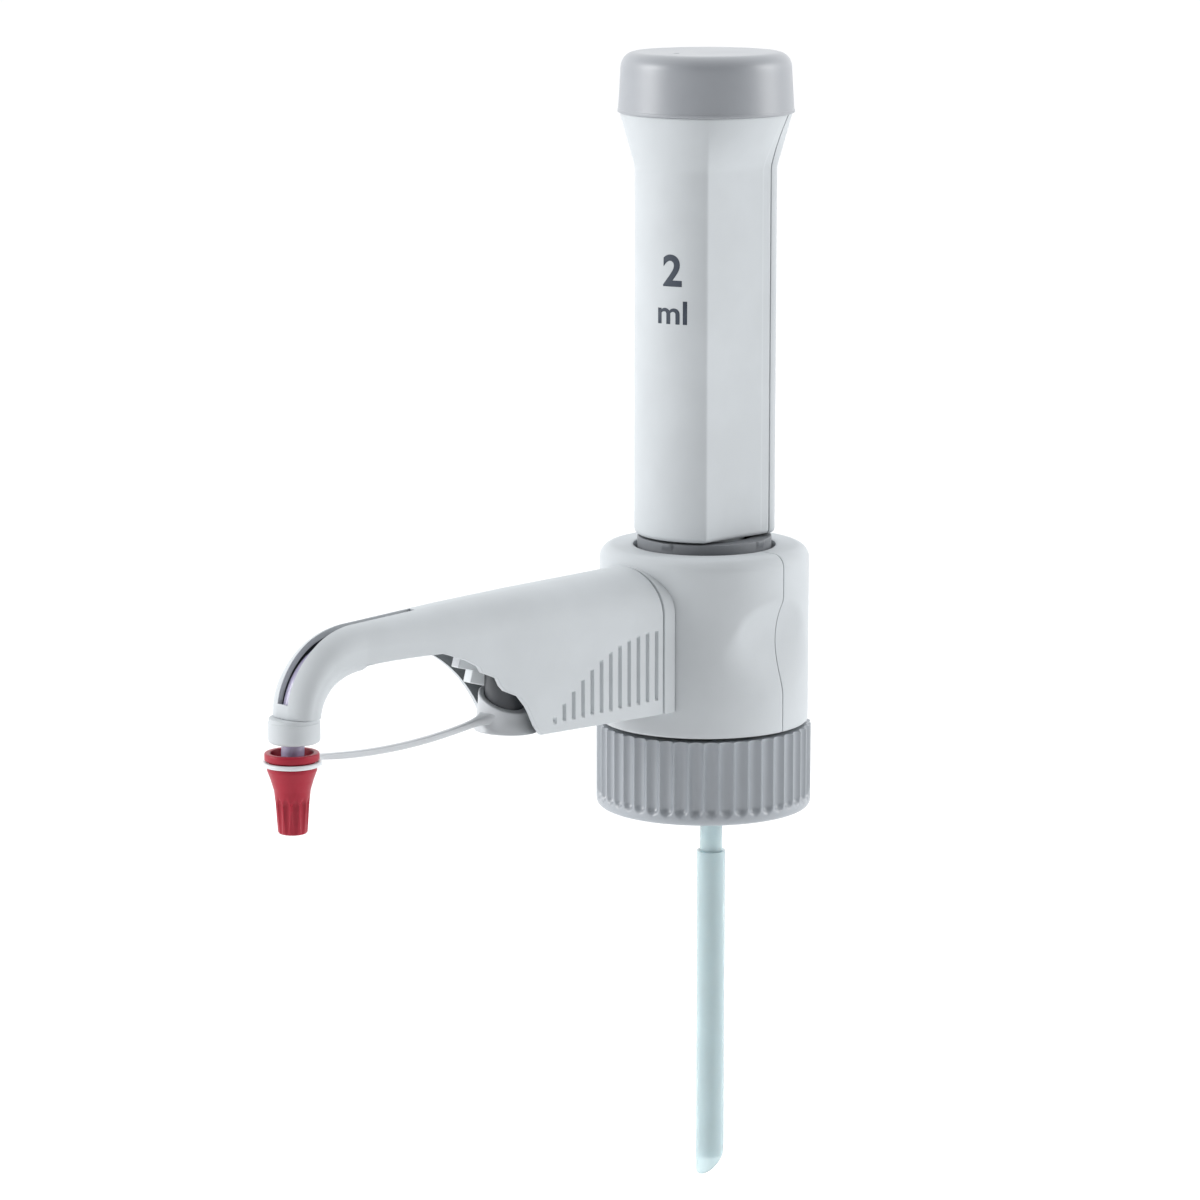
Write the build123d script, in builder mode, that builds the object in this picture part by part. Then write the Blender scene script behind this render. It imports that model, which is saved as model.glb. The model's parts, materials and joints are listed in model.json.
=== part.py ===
from build123d import *
from math import acos, cos, degrees, radians, sin, sqrt
import os

# A bottle-top dispenser: a fluted ring screws onto a laboratory bottle, a valve head turns in it,
# and lifting the handle draws one dose into a glass cylinder, which pressing it down sends through
# the arm. Millimetres. +Z is up the cylinder, the arm points along -Y, and the origin is the middle
# of the face that rests on the bottle's rim.

# ---------------------------------------------------------------- driving dimensions
# dose: 2 ml is the piston's face times one full stroke
piston_radius = 3.0157
stroke = 70.0

# clearances
running_gap = 0.08  # radial, round a turning or sliding fit
push_gap = 0.1  # between pieces that are pushed together
slide_gap = 0.3  # between pieces that pass each other
seam_gap = 0.25  # open line between two shells

# bottle ring and its stack
ring_radius = 28.3
ring_skirt = 16.8  # below the seat
ring_flange = 2.0
thread_radius = 22.75
flute_count = 45
flute_radius = 1.8
flute_depth = 0.8
flute_foot = 2.4  # plain rim below the flutes
ring_edge = 1.6
washer_thickness = 1.5
washer_inner_radius = 15.0

# valve block
block_flange = 1.8
block_slope = 2.0
neck_radius = 17.9
shoulder_thickness = 3.0
block_radius = 15.0
block_top = 44.0
sleeve_spigot = 6.0
port_height = 30.0
port_radius = 7.5
port_reach = 26.5
chamber_radius = 2.5
chamber_floor = 24.0
valve_socket = 22.0
passage_top = 27.0
seal_depth = 10.0  # from the block's top to the seal's underside

# housing
housing_radius = 27.5
housing_height = 46.7
housing_wall = 2.0
housing_top_radius = 3.5
housing_gap = 0.8  # dark line above the ring
housing_hole = 18.6
housing_seam = 1.7
scoop_depth = 3.1
scoop_half_height = 10.8
scoop_height = 30.4

# guide collar under the handle
collar_radius = 17.6
collar_rise = 2.4
collar_wall = 2.0
collar_slope = 3.0
collar_step = 1.0
nub_size = 1.2
nub_count = 4
nub_turn = 12.0

# cylinder, piston and sleeve
glass_wall = 2.5
glass_top = 128.0
seal_thickness = 2.0
sleeve_radius = 10.6
sleeve_wall = 1.5
stop_band = 6.0
stop_ledge = 0.75
sleeve_lip = 2.0
rod_radius = 2.2
piston_length = 8.0
piston_waist = 0.4
lip_height = 2.2
lip_lead = 1.0
rod_end = 2.0
rod_chamfer = 0.5

# handle
handle_radius = 18.4
handle_wall = 1.8
handle_flat = 13.5
handle_gap = 2.9  # above the housing
handle_height = 109.9
flare_height = 13.8
flare_radius = 22.3
cap_bore = 18.0
handle_seam = 10.5
handle_edge = 1.4
bush_height = 6.0
bush_inset = 2.4
carrier_thickness = 3.0
nut_radius = 6.0
nut_thickness = 5.0

# top cap
cap_radius = 22.9
cap_height = 15.5
cap_wall = 2.2
cap_edge = 3.8
cap_draft = 1.0
cap_spigot = 3.4
dimple_radius = 0.8
dimple_offset = 10.7
dimple_depth = 0.4

# valves
ball_radius = 2.0
ball_travel = 1.0
ball_clearance = 0.35
seat_bore = 1.3
valve_radius = 4.95
filling_offset = 3.0
filling_seat_height = 9.0
filling_nut_radius = 6.5
filling_nut_height = 4.5
olive_length = 10.0
olive_radius = 2.25
olive_barb = 0.35
cage_thickness = 3.0
cage_slot = 0.8
discharge_seat = 16.0  # from the axis to the ball's seat
spring_length = 7.0
spring_wire = 0.4
spring_turns = 5
valve_tail = 4.0
tube_socket = 6.0

# filling tube
tube_inner_radius = 2.3
tube_radius = 3.0
tube_length = 110.0
lower_tube_wall = 0.7
lower_tube_top = -30.2
lower_tube_length = 89.0
tip_slant = 45.0

# arm
nozzle_reach = 140.0
arm_start = 28.25
arm_wall = 1.5
arm_hem = 13.4  # height of the skirts' lower edge
skirt_end = 68.2
sweep_middle = (79.8, 28.6)  # distance and height where the edge sweeps up from the skirts
sweep_end = (98.0, 37.9)
hem_height = 38.7  # lower edge of the narrow part
hem_lead = 2.0  # from the end of the open hem to the bend
slot_lead = 20.0  # from the slot's start to the bend
slot_width = 2.0
slot_lip = 2.5  # wall left between the slot and the nozzle end
groove_count = 12
groove_pitch = 3.03
groove_width = 1.0
groove_depth = 0.5
groove_start = 30.65
groove_height = 18.2
groove_foot = 3.9
groove_droop = 1.5
base_lip = 4.0
base_lip_wall = 1.5

# bend of the arm
bend_length = 18.1
bend_offset = 0.9  # from the bend's end to the nozzle's axis
bend_top = 41.2
arm_end = 26.7
bend_side = 0.6  # half the straight stretch between dome and belly
half_turn = 180.0  # degrees

# nozzle end
collar_end_radius = 6.15
collar_end_height = 7.1
collar_end_edge = 0.8
nozzle_radius = 2.85
nozzle_bore = 1.6
nozzle_tip = 4.0
tube_lead = 10.0  # straight stretch out of the valve
tube_rise = 5.0  # from the tube guide to the tube's crest
tube_height = 42.0
tube_bends = (24.0, 60.0, 15.0)

# nozzle cap and its strap
nozzle_cap_top = 17.1
nozzle_cap_height = 19.3
cap_flange_radius = 6.75
cap_flange = 1.9
cap_groove_radius = 5.75
cap_bead_radius = 6.25
cap_bead = 1.0
cap_cone = 5.2
cap_grip_radius = 3.95
cap_tip_radius = 3.6
cap_mouth_radius = 5.0
cap_mouth = 3.6
cap_rib_count = 12
cap_rib_radius = 0.6
cap_rib_offset = 0.35
cap_rib_end = 1.0
cap_fit = 0.15
loop_thickness = 1.3
loop_wall = 1.4
strap_width = 2.0
strap_thickness = 1.5
strap_sag = 1.9
strap_start = 17.4

# strap post and tube guide inside the arm
post_reach = 70.5
post_radius = 5.0
post_bottom = 17.0
post_height = 14.0
post_plate = 2.0
clip_wall = 1.6
clip_bottom = 14.2
clip_low = 18.8
clip_high = 23.6
guide_space = 3.5  # between the post and the guide
guide_length = 8.0
guide_width = 8.0
guide_bottom = 29.0
guide_step = 3.0
guide_top = 36.6
guide_plate = 2.5

# ---------------------------------------------------------------- derived places
glass_bore = piston_radius + running_gap / 2
glass_radius = glass_bore + glass_wall

flange_bottom = washer_thickness + push_gap
flange_top = flange_bottom + block_flange
ring_top = flange_top + push_gap + ring_flange
housing_bottom = ring_top + housing_gap
housing_top = housing_bottom + housing_height
housing_inner = housing_radius - housing_wall
shoulder_bottom = housing_bottom + housing_wall
shoulder_top = shoulder_bottom + shoulder_thickness
scoop_radius = (scoop_half_height**2 + scoop_depth**2) / (2 * scoop_depth)
scoop_centre = housing_radius - scoop_depth + scoop_radius

sleeve_inner = sleeve_radius - sleeve_wall
collar_bottom = block_top + push_gap
collar_top = housing_top + collar_rise
handle_bottom = housing_top + handle_gap
handle_top = handle_bottom + handle_height
flare_start = handle_top - flare_height
handle_corner = degrees(acos(handle_flat / handle_radius))
bush_bottom = handle_bottom + bush_inset
bush_top = bush_bottom + bush_height
stop_bottom = bush_top + stroke + slide_gap
sleeve_top = stop_bottom + stop_band
seal_bottom = block_top - seal_depth
glass_bottom = seal_bottom + seal_thickness
piston_bottom = glass_bottom + slide_gap
piston_top = piston_bottom + piston_length
carrier_top = handle_top - cap_spigot - push_gap
carrier_bottom = carrier_top - carrier_thickness
cap_bottom = handle_top + push_gap
cap_top = cap_bottom + cap_height

tube_top = -filling_nut_height - push_gap
lower_tube_inner = tube_radius + running_gap
lower_tube_radius = lower_tube_inner + lower_tube_wall
ball_lift = sqrt(ball_radius**2 - seat_bore**2) + running_gap / 2
ball_room = ball_radius + ball_clearance
cage_bottom = filling_seat_height + ball_lift + ball_radius + ball_travel + running_gap
spring_radius = ball_radius - spring_wire
ball_reach = discharge_seat + ball_lift
spring_start = ball_reach + ball_radius + running_gap
tube_start = spring_start + spring_length + running_gap

loop_inner = cap_groove_radius + slide_gap
loop_radius = loop_inner + loop_wall
loop_top = nozzle_cap_top - cap_flange - push_gap
loop_bottom = loop_top - loop_thickness
clip_inner = post_radius + push_gap
clip_radius = clip_inner + clip_wall

bend_end = nozzle_reach - bend_offset
bend_start = bend_end - bend_length
hem_end = bend_start - hem_lead
hem_start = (sweep_end[0] + hem_end) / 2
slot_start = bend_start - slot_lead
guide_reach = post_reach + post_radius + guide_space + guide_length / 2
tube_crest = guide_reach + tube_rise

# Stations of the arm: distance from the axis, half width, crown, dome and floor heights
arm_stations = (
    (arm_start, 14.2, 50.3, 11.4, arm_hem - 1.4),
    (skirt_end, 11.5, 49.6, 9.2, arm_hem - 1.4),
    (92.0, 9.2, 48.9, 7.6, 33.0),
)
arm_belly = 4.0
# Stations of the bend: turn in degrees, half width and half depth
bend_stations = ((0, 6.6, 6.3), (30, 6.3, 6.2), (60, 5.9, 5.9), (90, 5.5, 5.5))
flank_slope = (arm_stations[0][1] - arm_stations[1][1]) / (skirt_end - arm_start)

parts = []


def keep(builder, label):
    """Name a finished piece and put it on the list that is written at the end."""
    builder.part.label = label
    parts.append(builder.part)


def flat_sided(radius, flat, height):
    """Outline of the handle at a height: a circle with a flat on both sides."""
    corner = degrees(acos(flat / radius))
    rise = sqrt(radius**2 - flat**2)
    with BuildSketch(Plane.XY.offset(height)) as outline:
        with BuildLine():
            CenterArc((0, 0), radius, corner, half_turn - 2 * corner)
            Line((-flat, rise), (-flat, -rise))
            CenterArc((0, 0), radius, half_turn + corner, half_turn - 2 * corner)
            Line((flat, -rise), (flat, rise))
        make_face()
    return outline.sketch


def four_arcs(radius, height):
    """A circle divided at the angles where the flats of the handle begin and end."""
    with BuildSketch(Plane.XY.offset(height)) as outline:
        with BuildLine():
            CenterArc((0, 0), radius, handle_corner, half_turn - 2 * handle_corner)
            CenterArc((0, 0), radius, half_turn - handle_corner, 2 * handle_corner)
            CenterArc((0, 0), radius, half_turn + handle_corner, half_turn - 2 * handle_corner)
            CenterArc((0, 0), radius, -handle_corner, 2 * handle_corner)
        make_face()
    return outline.sketch


def arm_section(plane, half_width, dome, side, belly):
    """One closed arm section: an elliptic dome, two straight sides and a shallow elliptic belly."""
    with BuildSketch(plane) as section:
        with BuildLine():
            EllipticalCenterArc((0, 0), half_width, dome, arc_size=half_turn)
            Line((-half_width, 0), (-half_width, -side))
            EllipticalCenterArc((0, -side), half_width, belly, half_turn, arc_size=half_turn)
            Line((half_width, -side), (half_width, 0))
        make_face()
    return section.sketch


def arm_sections(inset):
    """Sections of the arm from the housing to the nozzle, each drawn in by the inset."""
    sections = []
    for reach, half_width, crown, dome, floor in arm_stations:
        spring_line = crown - dome
        plane = Plane(origin=(0, -reach, spring_line), x_dir=(1, 0, 0), z_dir=(0, -1, 0))
        side = spring_line - floor
        sections.append(
            arm_section(plane, half_width - inset, dome - inset, side, arm_belly - inset)
        )
    wide = bend_end - bend_start
    tall = bend_top - arm_end
    for turn, half_width, half_depth in bend_stations:
        angle = radians(turn)
        centre = Vector(0, -bend_start - wide * sin(angle), arm_end + tall * cos(angle))
        heading = Vector(0, -wide * cos(angle), -tall * sin(angle))
        outward = Vector(0, heading.Z, -heading.Y).normalized()
        plane = Plane(origin=centre + outward * bend_side, x_dir=(1, 0, 0), z_dir=heading)
        dome = half_depth - bend_side - inset
        sections.append(arm_section(plane, half_width - inset, dome, 2 * bend_side, dome))
    return sections


def arm_half_width(reach):
    """Half width of the arm's straight part at a distance from the axis."""
    stations = [station[:2] for station in arm_stations]
    stations.append((bend_start, bend_stations[0][1]))
    for (near, wide), (far, narrow) in zip(stations, stations[1:]):
        if reach <= far:
            return wide + (narrow - wide) * (reach - near) / (far - near)
    return stations[-1][1]


# ---------------------------------------------------------------- bottle ring
with BuildPart() as bottle_ring:
    with BuildSketch(Plane.XZ):
        with BuildLine():
            Polyline(
                (neck_radius + running_gap, ring_top),
                (ring_radius, ring_top),
                (ring_radius, -ring_skirt),
                (thread_radius, -ring_skirt),
                (thread_radius, ring_top - ring_flange),
                (neck_radius + running_gap, ring_top - ring_flange),
                close=True,
            )
        make_face()
    revolve(axis=Axis.Z)
    rim_edges = bottle_ring.edges().filter_by(GeomType.CIRCLE).group_by(SortBy.RADIUS)[-1]
    fillet(rim_edges.sort_by(Axis.Z)[0], radius=ring_edge)
    flute_bottom = flute_foot - ring_skirt
    flute_length = ring_top - flute_bottom
    flute_ring = ring_radius + flute_radius - flute_depth
    with Locations((0, 0, flute_bottom + flute_radius)):
        with PolarLocations(flute_ring, flute_count):
            Cylinder(
                flute_radius,
                flute_length,
                align=(Align.CENTER, Align.CENTER, Align.MIN),
                mode=Mode.SUBTRACT,
            )
            Sphere(flute_radius, mode=Mode.SUBTRACT)
keep(bottle_ring, "bottle_ring")

with BuildPart() as rim_washer:
    with BuildSketch():
        Circle(thread_radius - push_gap / 2)
        Circle(washer_inner_radius, mode=Mode.SUBTRACT)
    extrude(amount=washer_thickness)
keep(rim_washer, "rim_washer")

# ---------------------------------------------------------------- valve block
with BuildPart() as valve_block:
    with BuildSketch(Plane.XZ):
        with BuildLine():
            Polyline(
                (0, flange_bottom),
                (thread_radius - slide_gap, flange_bottom),
                (thread_radius - slide_gap, flange_top),
                (neck_radius, flange_top),
                (neck_radius, shoulder_bottom),
                (housing_inner - push_gap, shoulder_bottom),
                (housing_inner - push_gap, shoulder_top),
                (block_radius, shoulder_top + block_slope),
                (block_radius, block_top),
                (sleeve_inner - running_gap, block_top),
                (sleeve_inner - running_gap, block_top + sleeve_spigot),
                (0, block_top + sleeve_spigot),
                close=True,
            )
        make_face()
    revolve(axis=Axis.Z)
    with BuildSketch(Plane.XZ):
        with Locations((0, port_height)):
            Circle(port_radius)
    extrude(amount=port_reach)
    # socket for the glass cylinder, the seal's seat and the chamber below it
    with Locations((0, 0, block_top + sleeve_spigot)):
        Hole(glass_radius + push_gap / 2, depth=block_top + sleeve_spigot - seal_bottom)
        Hole(chamber_radius, depth=block_top + sleeve_spigot - chamber_floor)
    # filling valve socket, drilled from below, and the passage above it
    with Locations((0, filling_offset, 0)):
        Cylinder(
            valve_radius + push_gap / 2,
            valve_socket,
            align=(Align.CENTER, Align.CENTER, Align.MIN),
            mode=Mode.SUBTRACT,
        )
        Cylinder(
            seat_bore,
            passage_top,
            align=(Align.CENTER, Align.CENTER, Align.MIN),
            mode=Mode.SUBTRACT,
        )
    # discharge valve socket, drilled from the front, and the passage behind it
    with BuildSketch(Plane.XZ.offset(port_reach)):
        with Locations((0, port_height)):
            Circle(valve_radius + push_gap / 2)
    extrude(amount=discharge_seat - valve_tail - port_reach, mode=Mode.SUBTRACT)
    with BuildSketch(Plane.XZ):
        with Locations((0, port_height)):
            Circle(seat_bore)
    extrude(amount=port_reach, mode=Mode.SUBTRACT)
keep(valve_block, "valve_block")

# ---------------------------------------------------------------- housing shells
with BuildPart() as housing_cavity:
    with Locations((0, 0, housing_bottom)):
        Cylinder(
            housing_inner,
            housing_height - housing_wall,
            align=(Align.CENTER, Align.CENTER, Align.MIN),
        )
    with BuildSketch(Plane.XZ.offset(-housing_radius)):
        with Locations((scoop_centre, scoop_height), (-scoop_centre, scoop_height)):
            Circle(scoop_radius + housing_wall)
    extrude(amount=2 * housing_radius, mode=Mode.SUBTRACT)

with BuildPart() as housing:
    with Locations((0, 0, housing_bottom)):
        Cylinder(
            housing_radius,
            housing_height,
            align=(Align.CENTER, Align.CENTER, Align.MIN),
        )
    fillet(housing.edges().group_by(Axis.Z)[-1], radius=housing_top_radius)
    with BuildSketch(Plane.XZ.offset(-housing_radius)):
        with Locations((scoop_centre, scoop_height), (-scoop_centre, scoop_height)):
            Circle(scoop_radius)
    extrude(amount=2 * housing_radius, mode=Mode.SUBTRACT)
    add(housing_cavity.part, mode=Mode.SUBTRACT)
    with Locations((0, 0, housing_top)):
        Hole(housing_hole, depth=2 * housing_wall)
    with BuildSketch(Plane.XZ):
        with Locations((0, port_height)):
            Circle(port_radius + push_gap)
    extrude(amount=2 * housing_radius, mode=Mode.SUBTRACT)

with BuildPart() as housing_front:
    add(housing.part)
    split(bisect_by=Plane.XZ.offset(-housing_seam + seam_gap / 2), keep=Keep.TOP)
keep(housing_front, "housing_front")

with BuildPart() as housing_rear:
    add(housing.part)
    split(bisect_by=Plane.XZ.offset(-housing_seam - seam_gap / 2), keep=Keep.BOTTOM)
keep(housing_rear, "housing_rear")

# ---------------------------------------------------------------- guide collar
with BuildPart() as guide_collar:
    with BuildSketch(Plane.XZ):
        with BuildLine():
            Polyline(
                (sleeve_radius + push_gap, collar_bottom),
                (block_radius, collar_bottom),
                (collar_radius, collar_bottom + collar_slope),
                (collar_radius, collar_top),
                (collar_radius - collar_wall, collar_top),
                (collar_radius - collar_wall, housing_top - collar_step),
                (sleeve_radius + push_gap, housing_top - collar_step),
                close=True,
            )
        make_face()
    revolve(axis=Axis.Z)
    with Locations((0, 0, collar_top - nub_size)):
        with PolarLocations(collar_radius, nub_count, start_angle=nub_turn):
            Box(nub_size, 3 * nub_size, nub_size)
keep(guide_collar, "guide_collar")

# ---------------------------------------------------------------- cylinder, sleeve and seal
with BuildPart() as glass_cylinder:
    with BuildSketch(Plane.XY.offset(glass_bottom)):
        Circle(glass_radius)
        Circle(glass_bore, mode=Mode.SUBTRACT)
    extrude(amount=glass_top - glass_bottom)
keep(glass_cylinder, "glass_cylinder")

with BuildPart() as cylinder_seal:
    with BuildSketch(Plane.XY.offset(seal_bottom)):
        Circle(glass_radius)
        Circle(glass_bore, mode=Mode.SUBTRACT)
    extrude(amount=seal_thickness)
keep(cylinder_seal, "cylinder_seal")

with BuildPart() as guide_sleeve:
    with BuildSketch(Plane.XZ):
        with BuildLine():
            Polyline(
                (sleeve_inner, block_top),
                (sleeve_radius, block_top),
                (sleeve_radius, stop_bottom),
                (sleeve_radius + stop_ledge, stop_bottom),
                (sleeve_radius + stop_ledge, sleeve_top),
                (glass_radius + push_gap, sleeve_top),
                (glass_radius + push_gap, sleeve_top - sleeve_lip),
                (sleeve_inner, sleeve_top - sleeve_lip),
                close=True,
            )
        make_face()
    revolve(axis=Axis.Z)
keep(guide_sleeve, "guide_sleeve")

# ---------------------------------------------------------------- filling valve
filling_axis = Axis((0, filling_offset, 0), (0, 0, 1))
filling_plane = Plane(origin=(0, filling_offset, 0), x_dir=(1, 0, 0), z_dir=(0, -1, 0))

with BuildPart() as filling_valve:
    with BuildSketch(filling_plane):
        with BuildLine():
            olive_tip = -filling_nut_height - olive_length
            barb = olive_length / 4
            Polyline(
                (seat_bore, olive_tip),
                (olive_radius - olive_barb, olive_tip),
                (olive_radius, olive_tip + barb),
                (olive_radius - olive_barb, olive_tip + barb),
                (olive_radius, olive_tip + 2 * barb),
                (olive_radius - olive_barb, olive_tip + 2 * barb),
                (olive_radius - olive_barb, -filling_nut_height),
                (filling_nut_radius, -filling_nut_height),
                (filling_nut_radius, 0),
                (valve_radius, 0),
                (valve_radius, cage_bottom + cage_thickness),
                (ball_room, cage_bottom + cage_thickness),
                (ball_room, filling_seat_height),
                (seat_bore, filling_seat_height),
                close=True,
            )
        make_face()
    revolve(axis=filling_axis)
keep(filling_valve, "filling_valve")

with BuildPart() as filling_seal:
    with BuildSketch(Plane.XY.offset(push_gap / 2)):
        with Locations((0, filling_offset)):
            Circle(filling_nut_radius)
            Circle(valve_radius + push_gap / 2, mode=Mode.SUBTRACT)
    extrude(amount=flange_bottom - push_gap)
keep(filling_seal, "filling_seal")

with BuildPart() as filling_cage:
    with BuildSketch(Plane.XY.offset(cage_bottom)):
        with Locations((0, filling_offset)):
            Circle(ball_room - push_gap / 2)
            Circle(seat_bore, mode=Mode.SUBTRACT)
    extrude(amount=cage_thickness)
    with Locations((0, filling_offset, cage_bottom)):
        Box(2 * ball_radius, cage_slot, 2 * cage_slot, mode=Mode.SUBTRACT)
keep(filling_cage, "filling_cage")

with BuildPart() as filling_ball:
    with Locations((0, filling_offset, filling_seat_height + ball_lift)):
        Sphere(ball_radius)
keep(filling_ball, "filling_ball")

# ---------------------------------------------------------------- filling tube
with BuildPart() as filling_tube:
    with BuildSketch(Plane.XY.offset(tube_top)):
        with Locations((0, filling_offset)):
            Circle(tube_radius)
            Circle(tube_inner_radius, mode=Mode.SUBTRACT)
    extrude(amount=-tube_length)
keep(filling_tube, "filling_tube")

with BuildPart() as lower_tube:
    with BuildSketch(Plane.XY.offset(lower_tube_top)):
        with Locations((0, filling_offset)):
            Circle(lower_tube_radius)
            Circle(lower_tube_inner, mode=Mode.SUBTRACT)
    extrude(amount=-lower_tube_length)
    lower_tip = lower_tube_top - lower_tube_length
    tip_plane = Plane(
        origin=(0, filling_offset - lower_tube_radius, lower_tip),
        x_dir=(1, 0, 0),
        z_dir=(0, -sin(radians(tip_slant)), cos(radians(tip_slant))),
    )
    split(bisect_by=tip_plane, keep=Keep.TOP)
keep(lower_tube, "lower_tube")

# ---------------------------------------------------------------- discharge valve
port_axis = Axis((0, 0, port_height), (0, -1, 0))
port_plane = Plane(origin=(0, 0, port_height), x_dir=(0, -1, 0), z_dir=(1, 0, 0))

with BuildPart() as discharge_valve:
    valve_back = discharge_seat - valve_tail + push_gap
    valve_front = tube_start + tube_socket
    with BuildSketch(port_plane):
        with BuildLine():
            Polyline(
                (valve_back, seat_bore),
                (valve_back, valve_radius),
                (valve_front, valve_radius),
                (valve_front, nozzle_radius + push_gap / 2),
                (tube_start, nozzle_radius + push_gap / 2),
                (tube_start, ball_room),
                (discharge_seat, ball_room),
                (discharge_seat, seat_bore),
                close=True,
            )
        make_face()
    revolve(axis=port_axis)
keep(discharge_valve, "discharge_valve")

with BuildPart() as discharge_ball:
    with Locations((0, -ball_reach, port_height)):
        Sphere(ball_radius)
keep(discharge_ball, "discharge_ball")

with BuildPart() as discharge_spring:
    coil_height = spring_length - spring_wire
    with BuildLine() as coil:
        Helix(
            coil_height / spring_turns,
            coil_height,
            spring_radius,
            center=(0, -spring_start - spring_wire / 2, port_height),
            direction=(0, -1, 0),
        )
    with BuildSketch(Plane(origin=coil.line @ 0, z_dir=coil.line % 0)):
        Circle(spring_wire / 2)
    sweep(path=coil.line, is_frenet=True)
keep(discharge_spring, "discharge_spring")

# ---------------------------------------------------------------- arm
with BuildPart() as arm_base:
    reach, half_width, crown, dome = arm_stations[0][:4]
    spring_line = crown - dome
    with BuildSketch(Plane(origin=(0, -reach + seam_gap, 0), x_dir=(1, 0, 0), z_dir=(0, -1, 0))):
        with BuildLine():
            EllipticalCenterArc((0, spring_line), half_width, dome, arc_size=half_turn)
            Line((-half_width, spring_line), (-half_width, arm_hem))
            Line((-half_width, arm_hem), (half_width, arm_hem))
            Line((half_width, arm_hem), (half_width, spring_line))
        make_face()
    extrude(amount=-housing_wall - base_lip)
    with Locations((0, 0, housing_bottom)):
        Cylinder(
            housing_radius + push_gap / 2,
            housing_height,
            align=(Align.CENTER, Align.CENTER, Align.MIN),
            mode=Mode.SUBTRACT,
        )
    lip = arm_wall + push_gap + base_lip * flank_slope
    with BuildSketch(Plane(origin=(0, -housing_radius, 0), x_dir=(1, 0, 0), z_dir=(0, -1, 0))):
        for inset, mode in ((lip, Mode.ADD), (lip + base_lip_wall, Mode.SUBTRACT)):
            with BuildSketch(mode=Mode.PRIVATE) as outline:
                with BuildLine():
                    EllipticalCenterArc(
                        (0, spring_line), half_width - inset, dome - inset, arc_size=half_turn
                    )
                    Line((inset - half_width, spring_line), (inset - half_width, arm_hem + inset))
                    Line((inset - half_width, arm_hem + inset), (half_width - inset, arm_hem + inset))
                    Line((half_width - inset, arm_hem + inset), (half_width - inset, spring_line))
                make_face()
            add(outline.sketch, mode=mode)
    extrude(amount=base_lip)
    with BuildSketch(Plane.XZ):
        with Locations((0, port_height)):
            Circle(port_radius + push_gap)
    extrude(amount=2 * reach, mode=Mode.SUBTRACT)
keep(arm_base, "arm_base")

with BuildPart() as arm_core:
    core_sections = arm_sections(arm_wall)
    add(core_sections[:4])
    loft(ruled=True)
    add(core_sections[3:])
    loft()

with BuildPart() as arm_cover:
    cover_sections = arm_sections(0)
    add(cover_sections[:4])
    loft(ruled=True)
    add(cover_sections[3:])
    loft()
    add(arm_core.part, mode=Mode.SUBTRACT)
    # the skirts end at the hem, sweep up in a V and run on as the edges of the narrow part
    with BuildSketch(Plane.YZ.offset(-housing_radius)):
        with BuildLine():
            ThreePointArc(
                (-skirt_end, arm_hem),
                (-sweep_middle[0], sweep_middle[1]),
                (-sweep_end[0], sweep_end[1]),
            )
            Polyline(
                (-sweep_end[0], sweep_end[1]),
                (-hem_start, hem_height),
                (-hem_end, hem_height),
                (-hem_end, 0),
                (0, 0),
                (0, arm_hem),
                (-skirt_end, arm_hem),
            )
        make_face()
    extrude(amount=2 * housing_radius, mode=Mode.SUBTRACT)
    # slot along the crown and round the bend
    with BuildSketch(Plane.YZ.offset(-slot_width / 2)):
        wide = bend_end - bend_start
        tall = bend_top - arm_end
        slot_outside = -nozzle_reach - 2 * collar_end_radius
        slot_above = arm_stations[0][2] + arm_belly
        with BuildLine():
            ThreePointArc(
                (-bend_end, arm_end + slot_lip),
                (-bend_start - wide * sin(radians(45)), arm_end + tall * cos(radians(45))),
                (-bend_start, bend_top),
            )
            Polyline(
                (-bend_start, bend_top),
                (-slot_start, bend_top),
                (-slot_start, slot_above),
                (slot_outside, slot_above),
                (slot_outside, arm_end + slot_lip),
                (-bend_end, arm_end + slot_lip),
            )
        make_face()
    extrude(amount=slot_width, mode=Mode.SUBTRACT)
    # upright grip grooves on both flanks, shorter towards the nozzle
    for side in (1, -1):
        for index in range(groove_count):
            reach = groove_start + index * groove_pitch
            share = index / (groove_count - 1)
            top = arm_hem + groove_foot + groove_height * (1 - share**2)
            bottom = arm_hem + groove_foot - groove_droop * share
            with Locations((side * arm_half_width(reach), -reach, (top + bottom) / 2)):
                Box(2 * groove_depth, groove_width, top - bottom, mode=Mode.SUBTRACT)
keep(arm_cover, "arm_cover")

# ---------------------------------------------------------------- discharge tube and nozzle end
with BuildPart() as discharge_tube:
    with BuildLine() as tube_path:
        FilletPolyline(
            (0, -tube_start - running_gap, port_height),
            (0, -tube_start - tube_lead, port_height),
            (0, -tube_crest, tube_height),
            (0, -nozzle_reach, tube_height),
            (0, -nozzle_reach, nozzle_tip),
            radius=tube_bends,
        )
    with BuildSketch(Plane(origin=tube_path.line @ 0, z_dir=tube_path.line % 0)):
        Circle(nozzle_radius)
        Circle(nozzle_bore, mode=Mode.SUBTRACT)
    sweep(path=tube_path.line)
keep(discharge_tube, "discharge_tube")

with BuildPart() as nozzle_collar:
    with BuildSketch(Plane.XY.offset(arm_end - collar_end_height)):
        with Locations((0, -nozzle_reach)):
            Circle(collar_end_radius)
    extrude(amount=collar_end_height - push_gap)
    fillet(nozzle_collar.edges().group_by(Axis.Z)[0], radius=collar_end_edge)
    with BuildSketch(Plane.XY.offset(arm_end - push_gap)):
        with Locations((0, -nozzle_reach)):
            Circle(nozzle_radius + push_gap / 2)
    extrude(amount=-collar_end_height, mode=Mode.SUBTRACT)
keep(nozzle_collar, "nozzle_collar")

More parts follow.
